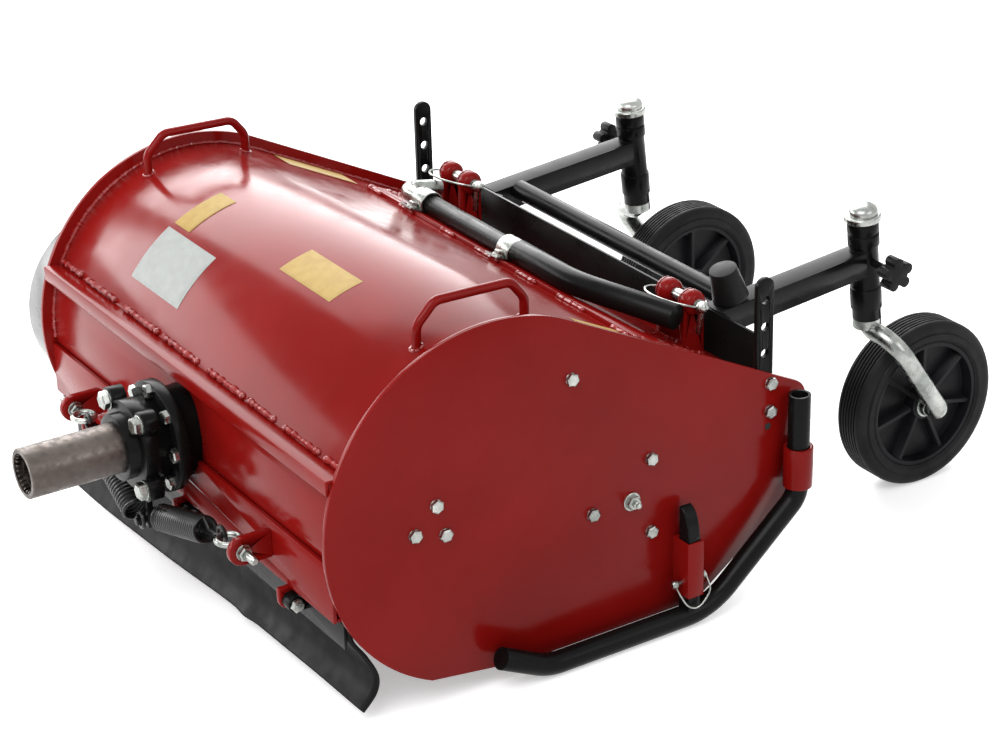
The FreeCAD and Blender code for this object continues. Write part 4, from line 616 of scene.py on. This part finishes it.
def welds():
    """Uneven hand-laid beads where the sheets meet."""
    chance = random.Random(7)
    mesh = bmesh.new()
    bar_top, half, plate = 115, INNER_SIDE - 3, INNER_SIDE - 1
    plate_bead, handle_bead, lug_bead, beam_bead = 2.2, 1.8, 2.2, 2.6
    seam_angle = math.degrees(math.asin((bar_top - SHELL_UP) / SHELL_RADIUS)) + 1.0
    broken_seam(mesh, lambda x: on_shell(x, seam_angle), -half, half, chance,
                shortest=20, size=3.0, run=(34, 50), gap=(4, 22))
    for sign in BOTH:
        arc = [on_shell(sign * plate, angle) for angle in range(-4, 116, 6)]
        slope = [on_top(sign * plate, y) for y in range(-60, 160, 20)]
        weld_bead(mesh, arc + slope, plate_bead, chance)
    for sign in BOTH:
        for y in HANDLE_FEET:
            weld_bead(mesh, handle_foot(sign, y), handle_bead, chance)
        for x in lug_places(sign):
            for edge_side in (-LUG_HALF - 0.6, LUG_HALF + 0.6):
                foot = [on_top(x + edge_side, LUG_AHEAD + reach) for reach in (-12, 12)]
                weld_bead(mesh, foot, lug_bead, chance)
        beam_end = [on_top(sign * BEAM_HALF, y, 2) for y in (BEAM_BACK + 1, BEAM_FRONT - 1)]
        weld_bead(mesh, beam_end, beam_bead, chance)
    reach = BEAM_HALF - 4
    for y in (BEAM_BACK, BEAM_FRONT):
        broken_seam(mesh, lambda x: on_top(x, y, 1.5), -reach, reach, chance,
                    shortest=6, size=2.4, run=(25, 25), gap=(28, 30))
    piece("weld_beads", mesh, "housing", "weld")


# ---------------------------------------------------------------- front lugs and lynch pins

def front_lug_heads():
    """Thick, ball-like heads on the four front lugs."""
    mesh = bmesh.new()
    dome = [(0, 12.6), (2.2, 12.2), (4.2, 10.8), (5.6, 8.6), (6.4, 6.2), (6.4, 0)]
    for sign in BOTH:
        for x in lug_places(sign):
            for way in BOTH:
                turned(mesh, at(x + way * LUG_HALF, LUG_AHEAD, LUG_UP), ACROSS_X * way, dome, 40)
    piece("front_lug_heads", mesh, "housing", "red_paint")


def front_lynch_pins():
    """A ball-headed pin and its closed wire loop at each pair of front lugs."""
    mesh = bmesh.new()
    pin = [(-16, 0), (-16, 2.4), (-14, 3.0), (8, 3.0), (9, 5.2), (12, 7.0), (15, 7.0), (18, 5.0), (19.5, 0)]
    lean, pin_out, pin_down, wire, steps = Vector((0.12, 0.05, 1)), 14, 14, 1.2, 48
    first, second = Vector((39, 0, 2)) * MM, Vector((0, 25, -6)) * MM
    for sign in BOTH:
        turned(mesh, at(lug_places(sign)[1] + pin_out, LUG_AHEAD, LUG_UP - pin_down), lean, pin, 24)
        middle = at(sign * LUG_SIDE - 5, LUG_AHEAD - 2, LUG_UP - 2)
        tube(mesh, [middle + first * math.cos(turn) + second * math.sin(turn)
                    for turn in (2 * math.pi * step / steps for step in range(steps))], wire, 10, closed=True)
    piece("front_lynch_pins", mesh, "housing", "zinc")


def guide_lynch_pins():
    """A small pin through each skid's box guide, and its wire loop hanging outside."""
    mesh = bmesh.new()
    pin = [(-1, 0), (-1, 2.5), (1, 4.4), (4, 4.4), (6, 2.5),
           (6, 2.1), (36, 2.1), (36, 3.4), (39, 3.4), (40, 0)]
    loop = ((0, 41, -98), (9, 41, -106), (12.5, 47, -117), (13, 57, -122),
            (12.5, 67, -118), (11, 75, -108), (4, 76, -98), (0, 76, -93))
    for sign in BOTH:
        x = sign * GUIDE_SIDE
        turned(mesh, at(x, 38, -97), AHEAD, pin, 24)
        tube(mesh, smooth_line([at(x + sign * out, y, z) for out, y, z in loop]), 0.9, 10)
    piece("guide_lynch_pins", mesh, "housing", "zinc")


# ---------------------------------------------------------------- springs

def spring(word, sign):
    """A close-wound black spring between the hitch arm's pin and an eyebolt."""
    wire, coil, hook, pitch, steps = 2.0, 12.0, 8.0, 4.6, 20
    eye_reach, pin_seat, eye_seat = 11, 1.7, 2.7
    # The pin is given from the row frame's origin, because the hitch turns round that.
    pin = Vector((0, {"left": 20, "right": 36}[word], -85)) * MM
    eye = at(sign * EYE_SIDE, EYE_BACK, EYE_UP)
    level = Vector((eye.x - pin.x, eye.y - pin.y, 0)).normalized()
    near = eye - level * eye_reach * MM
    way = (near - pin).normalized()
    inner, outer = pin + way * pin_seat * MM, near - way * eye_seat * MM
    side = (AHEAD - way * AHEAD.dot(way)).normalized()
    up = way.cross(side)
    far = (outer - inner).length / MM
    start, end = 12.0, far - 36.0
    turns = int((end - start) / pitch)

    def spot(along, out, turn=0.0):
        return inner + (way * along + (up * math.cos(turn) + side * math.sin(turn)) * out) * MM

    def loop(centre, facing, first, last):
        return [inner + (way * (centre + facing * hook * math.cos(turn)) + up * hook * math.sin(turn)) * MM
                for turn in (first + (last - first) * step / 16 for step in range(17))]

    path = loop(0, -1, math.radians(-150), math.radians(165))
    path += [spot(start - 1.5, 6)]
    path += [spot(start + (end - start) * number / (turns * steps), coil, 2 * math.pi * number / steps)
             for number in range(turns * steps + 1)]
    path += [spot(end + 5, 6), spot(end + 9, 1), spot(far - 10, 0.4)]
    path += loop(far, 1, math.radians(165), math.radians(-150))
    mesh = bmesh.new()
    tube(mesh, path, wire, 8)
    item = piece("coil_" + word, mesh, None, "spring_black")
    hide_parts("spring_" + word)
    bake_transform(item)


# ---------------------------------------------------------------- wheels and castors

def tyre(word):
    """A solid tyre with ribs round its tread and a stepped side wall."""
    low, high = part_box("tyre_" + word)
    outer, half = (high.z - low.z) / 2 / MM, (high.x - low.x) / 2 / MM
    inner, ribs, shoulder, groove = 71.0, 7, 6, 2
    profile = [(-half + 3, inner), (-half, inner + 3), (-half, inner + 9), (-half + 1.6, inner + 10),
               (-half + 1.2, outer - 7), (-half + 3, outer - 2.5), (-half + shoulder, outer - 0.2)]
    width = 2 * (half - shoulder)
    for number in range(ribs):
        left = -half + shoulder + width * number / ribs
        right = left + width / ribs
        profile += [(left + 0.6, outer), (right - 1.5, outer)]
        if number < ribs - 1:
            profile += [(right - 1.2, outer - groove), (right - 0.3, outer - groove)]
    profile += [(half - shoulder, outer - 0.2), (half - 3, outer - 2.5), (half - 1.2, outer - 7),
                (half - 1.6, inner + 10), (half, inner + 9), (half, inner + 3), (half - 3, inner),
                (-half + 3, inner)]
    mesh = bmesh.new()
    turned(mesh, WHEEL[word], ACROSS_X, profile, 128)
    item = piece("ribbed_tyre_" + word, mesh, "wheel_" + word, "tyre")
    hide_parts("tyre_" + word)


def hub_trim(word, sign):
    """Washers on both ends of a castor wheel's axle: a stepped one outside and a flat one inside."""
    axle_half, bore = 18.2, 8.4
    stepped = [(0, bore), (0, 13.4), (2, 13.4), (2.4, 11.4), (8, 11), (9, 10.4), (9, bore)]
    flat = [(0, bore), (0, 14), (1.8, 14), (2, 13.4), (2, bore)]
    mesh = bmesh.new()
    for way, profile in ((ACROSS_X * sign, stepped), (-ACROSS_X * sign, flat)):
        turned(mesh, WHEEL[word] + way * axle_half * MM, way, profile)
    piece("hub_washers_" + word, mesh, "castor_" + word, "zinc")


def cap_dome(word):
    """The domed boss of a castor post's cap."""
    low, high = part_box("castor_cap_" + word)
    top = Vector(((low.x + high.x) / 2, (low.y + high.y) / 2, high.z))
    lean = Vector(JOINTS["castor_%s_swivel" % word]["axis"]).normalized()
    height = 14.5
    dome = [(0, 12.5), (1, 14.6), (8, 14.9), (11, 13.6), (13.4, 10.4), (14.8, 6), (15.4, 0)]
    mesh = bmesh.new()
    turned(mesh, top - lean * height * MM, lean, dome, 40)
    piece("cap_dome_" + word, mesh, "castor_" + word, "zinc")


# ---------------------------------------------------------------- skids

def bar_top(word, sign):
    """A rounded upper end that fills out the slanting top of a skid's middle bar."""
    width, depth, middle, top, fall = 13.66, 16.0, 58.0, -18.0, 31.0
    turns = [math.pi / 2 * step / 12 for step in range(13)]
    outline = [(0.4, top - fall)]
    outline += [(depth * math.sin(turn), top - fall * (1 - math.cos(turn))) for turn in turns]
    mesh = bmesh.new()
    rings = [[mesh.verts.new(at(sign * (GUIDE_SIDE - depth / 2 + out), middle + way * width / 2, up))
              for out, up in outline] for way in BOTH]
    skin(mesh, rings)
    soften(piece("skid_bar_top_" + word, mesh, "skid_%s_body" % word, "black_paint"), 1.4)


# ---------------------------------------------------------------- hitch mouth, labels and flap

def spigot_teeth():
    """Fine splines inside the spigot's mouth."""
    mesh = bmesh.new()
    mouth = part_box("hitch_spigot")[0][1]
    count, bore, root_half, crest_half = 24, 20.02, 1.1, 0.8
    for number in range(count):
        turn = 2 * math.pi * number / count
        out = Vector((math.cos(turn), 0, math.sin(turn)))
        round_way = Vector((-math.sin(turn), 0, math.cos(turn)))
        rings = []
        for depth, rise in ((1.5, 0.6), (3.0, 2.0), (6.6, 2.0)):
            crest = bore - rise
            section = ((bore, -root_half), (crest, -crest_half), (crest, crest_half), (bore, root_half))
            rings.append([mesh.verts.new((out * radius + round_way * width) * MM
                                         + Vector((0, mouth + depth * MM, 0))) for radius, width in section])
        skin(mesh, rings)
    piece("spigot_teeth", mesh, "hitch", "bare_steel", smooth=False)


def film(name, material, spot):
    """A blank film with a fine raised face; spot gives a point from two shares and a lift."""
    mesh = bmesh.new()
    columns, rows = 10, 14
    for inset, lift in ((0.0, 0.35), (0.04, 0.5)):
        across_it, up_it = [[inset + (1 - 2 * inset) * step / count for step in range(count + 1)]
                            for count in (columns, rows)]
        grid = [[mesh.verts.new(spot(u, v, lift)) for u in across_it] for v in up_it]
        sheet(mesh, grid)
    piece(name, mesh, "housing", material)


def shell_label(name, material, x_low, x_high, low, high):
    """A film on the shell's round back; low and high are angles in degrees."""
    film(name, material, lambda u, v, lift: on_shell(x_low + (x_high - x_low) * u,
                                                     low + (high - low) * v, lift))


def slope_label(name, material, x_low, x_high, y_low, y_high):
    """A film on the shell's sloping front."""
    film(name, material, lambda u, v, lift: on_top(x_low + (x_high - x_low) * u,
                                                   y_low + (y_high - y_low) * v, lift))


def rubber_flap():
    """The rubber sheet with its waves: it bellies forward at the right and hangs back at the left."""
    low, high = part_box("rubber_flap")
    half, top, foot = (high.x - low.x) / 2 / MM, (high.z - ROTOR.z) / MM, (low.z - ROTOR.z) / MM
    face, belly, left_belly, left_sweep, columns = -303.9, 27.0, 6.0, 18.0, 96
    crease_depth, crease_width, crease_start, crease_drift = 2.5, 14.0, 20, 60
    long_wave, short_wave, edge_wave = 75.0, 29.0, 110.0
    line = [Vector((share, bow, 0)) for share, bow in
            ((0.0, 0.0), (0.1, 0.0), (0.23, 0.12), (0.42, 0.58), (0.66, 1.0), (0.84, 0.92), (1.0, 0.42))]
    mesh = bmesh.new()
    grid = []
    for step in smooth_line(line, 6):
        share, bow = min(max(step.x, 0.0), 1.0), step.y
        row = []
        for column in range(columns + 1):
            place = column / columns
            x = half * (2 * place - 1)
            wave = share ** 2 * (2.0 * math.sin(x / long_wave + 0.6) + 0.4 * math.sin(x / short_wave))
            from_crease = x - crease_start - crease_drift * share
            crease = crease_depth * math.exp(-(from_crease / crease_width) ** 2) * share
            bend = bow * (left_belly + (belly - left_belly) * place) - share ** 2 * left_sweep * (1 - place)
            lift = share ** 3 * (1.0 + math.sin(x / edge_wave))
            up = top + (foot - top) * share + lift
            row.append(mesh.verts.new(at(x, face + bend + wave - crease, min(up, top))))
        grid.append(row)
    sheet(mesh, grid)
    item = piece("rubber_sheet", mesh, "flap", "flap_rubber")
    solid = item.modifiers.new("thickness", "SOLIDIFY")
    solid.thickness, solid.offset = 4 * MM, 0.0
    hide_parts("rubber_flap")


plate_bolts()
cover_bolts()
hitch_bolts()
rear_screws()
rotor_screws()
front_screws()
welds()
front_lug_heads()
front_lynch_pins()
guide_lynch_pins()
for word, sign in SIGN.items():
    spring(word, sign)
    tyre(word)
    hub_trim(word, sign)
for word, sign in SIGN.items():
    bar_top(word, sign)
for word in SIGN:
    cap_dome(word)
spigot_teeth()
shell_label("label_plate", "label_white", x_low=-160, x_high=-56, low=36, high=57.5)
shell_label("label_rear", "label_yellow", x_low=-158, x_high=-125, low=59.7, high=79.5)
shell_label("label_middle", "label_yellow", x_low=32, x_high=130, low=66.5, high=79.6)
slope_label("label_left", "label_yellow", x_low=-294, x_high=-256, y_low=-50, y_high=32)
slope_label("label_right", "label_yellow", x_low=226, x_high=288, y_low=-14, y_high=40)
rubber_flap()

ROUNDED = {
    "side_plate_left": 0.7, "side_plate_right": 0.7, "rear_angle_bar": 1.0, "rear_panel": 0.8,
    "front_beam": 0.8, "front_guard": 0.6, "front_lugs": 1.5, "height_bars": 0.8, "belt_cover": 2.5,
    "hitch_flange": 1.0, "hitch_collar": 1.4, "panel_lugs": 1.2, "flap_strip": 0.6, "castor_knobs": 2.0,
    "skid_guides": 0.8, "frame_arm_left": 1.6, "frame_arm_right": 1.6, "frame_stub_caps": 2.2,
    "rim_left": 0.8, "rim_right": 0.8, "skid_left": 0.8, "skid_right": 0.8, "rotor": 0.8,
    "top_rod": 1.2, "top_rod_clamps": 0.6, "shell": 0.5,
}
for node, width in ROUNDED.items():
    soften(NODES[node], width)


# ---------------------------------------------------------------- stage, lights and camera

# In metres, as are the places and sizes of the softboxes.
FLOOR_REACH, FLOOR_GLOW, WORLD_LIGHT = 14.0, 0.42, 0.45
WHITE = (1, 1, 1, 1)
LIT_SPOT = (0.0, 0.35, 0.0)
# Each softbox: its place, its width and height, and its power in watts.
SOFTBOXES = {
    "key": ((1.2, -1.6, 2.6), 2.4, 1.8, 70),
    "fill": ((2.8, 1.2, 1.6), 1.6, 1.6, 16),
    "rim": ((-2.4, 1.3, 1.65), 2.8, 3.0, 150),
    "rear": ((-2.5, -1.5, 0.8), 2.9, 1.2, 64),
}


def seen_rays(tree):
    """1 for the rays that see the background: from the camera, from gloss and through glass."""
    path = tree.nodes.new("ShaderNodeLightPath")
    seen = path.outputs["Is Camera Ray"]
    for ray in ("Is Glossy Ray", "Is Transmission Ray"):
        either = add(tree, "ShaderNodeMath")
        either.operation = "MAXIMUM"
        tree.links.new(seen, either.inputs[0])
        tree.links.new(path.outputs[ray], either.inputs[1])
        seen = either.outputs[0]
    return seen


def show_when_seen(tree, plain, seen, output):
    """Give an output one shader for most rays, and another for the rays that see the background."""
    choose = tree.nodes.new("ShaderNodeMixShader")
    tree.links.new(seen_rays(tree), choose.inputs[0])
    tree.links.new(plain.outputs[0], choose.inputs[1])
    tree.links.new(seen.outputs[0], choose.inputs[2])
    tree.links.new(choose.outputs[0], output.inputs["Surface"])


def make_floor():
    """A white studio floor under the lowest point, which glows a little for the rays that see it."""
    material, tree, shader = nodes_of("studio_white")
    shader.inputs["Base Color"].default_value = (0.9, 0.9, 0.9, 1)
    shader.inputs["Roughness"].default_value = 0.9
    shader.inputs["Specular IOR Level"].default_value = 0.1
    glow = add(tree, "ShaderNodeEmission", Color=WHITE, Strength=FLOOR_GLOW)
    both = tree.nodes.new("ShaderNodeAddShader")
    tree.links.new(shader.outputs[0], both.inputs[0])
    tree.links.new(glow.outputs[0], both.inputs[1])
    show_when_seen(tree, shader, both, tree.nodes["Material Output"])
    mesh = bpy.data.meshes.new("floor")
    reach, level = FLOOR_REACH, cad_box[0][2]
    mesh.from_pydata([(-reach, -reach, level), (reach, -reach, level), (reach, reach, level),
                      (-reach, reach, level)], [], [(0, 1, 2, 3)])
    floor = bpy.data.objects.new("floor", mesh)
    bpy.context.collection.objects.link(floor)
    mesh.materials.append(material)


def make_world():
    """White surroundings that light softly and look bright."""
    world = bpy.data.worlds.new("studio")
    bpy.context.scene.world = world
    world.use_nodes = True
    tree = world.node_tree
    soft = tree.nodes["Background"]
    soft.inputs["Color"].default_value = WHITE
    soft.inputs["Strength"].default_value = WORLD_LIGHT
    bright = add(tree, "ShaderNodeBackground", Color=WHITE, Strength=1.0)
    show_when_seen(tree, soft, bright, tree.nodes["World Output"])


def softbox(name, place, width, height, power):
    """A rectangular studio light that faces the machine."""
    light = bpy.data.lights.new(name, "AREA")
    light.shape, light.size, light.size_y, light.energy = "RECTANGLE", width, height, power
    item = bpy.data.objects.new(name, light)
    item.location = place
    item.rotation_euler = (Vector(LIT_SPOT) - Vector(place)).to_track_quat("-Z", "Y").to_euler()
    bpy.context.collection.objects.link(item)


def make_camera():
    """The camera that the size was worked out with, fitted again with less sideways shift."""
    turn, rise, roll = math.radians(56.697), math.radians(24.954), math.radians(-1.015)
    back = Vector((math.sin(turn) * math.cos(rise), -math.cos(turn) * math.cos(rise), math.sin(rise)))
    level = Vector((math.cos(turn), math.sin(turn), 0))
    up = back.cross(level)
    right = level * math.cos(roll) + up * math.sin(roll)
    up = back.cross(right)
    data = bpy.data.cameras.new("camera")
    data.lens, data.sensor_width = 92.115, 36.0
    data.shift_x = -0.05
    data.clip_end = 60
    camera = bpy.data.objects.new("camera", data)
    place, facing = at(2064.1, -1244.4, 1135.2), Matrix((right, up, back)).transposed().to_4x4()
    camera.matrix_world = Matrix.Translation(place) @ facing
    bpy.context.collection.objects.link(camera)
    bpy.context.scene.camera = camera


make_floor()
make_world()
make_camera()
for name, (place, width, height, power) in SOFTBOXES.items():
    softbox(name, place, width, height, power)
bpy.context.scene.view_settings.view_transform = "Standard"
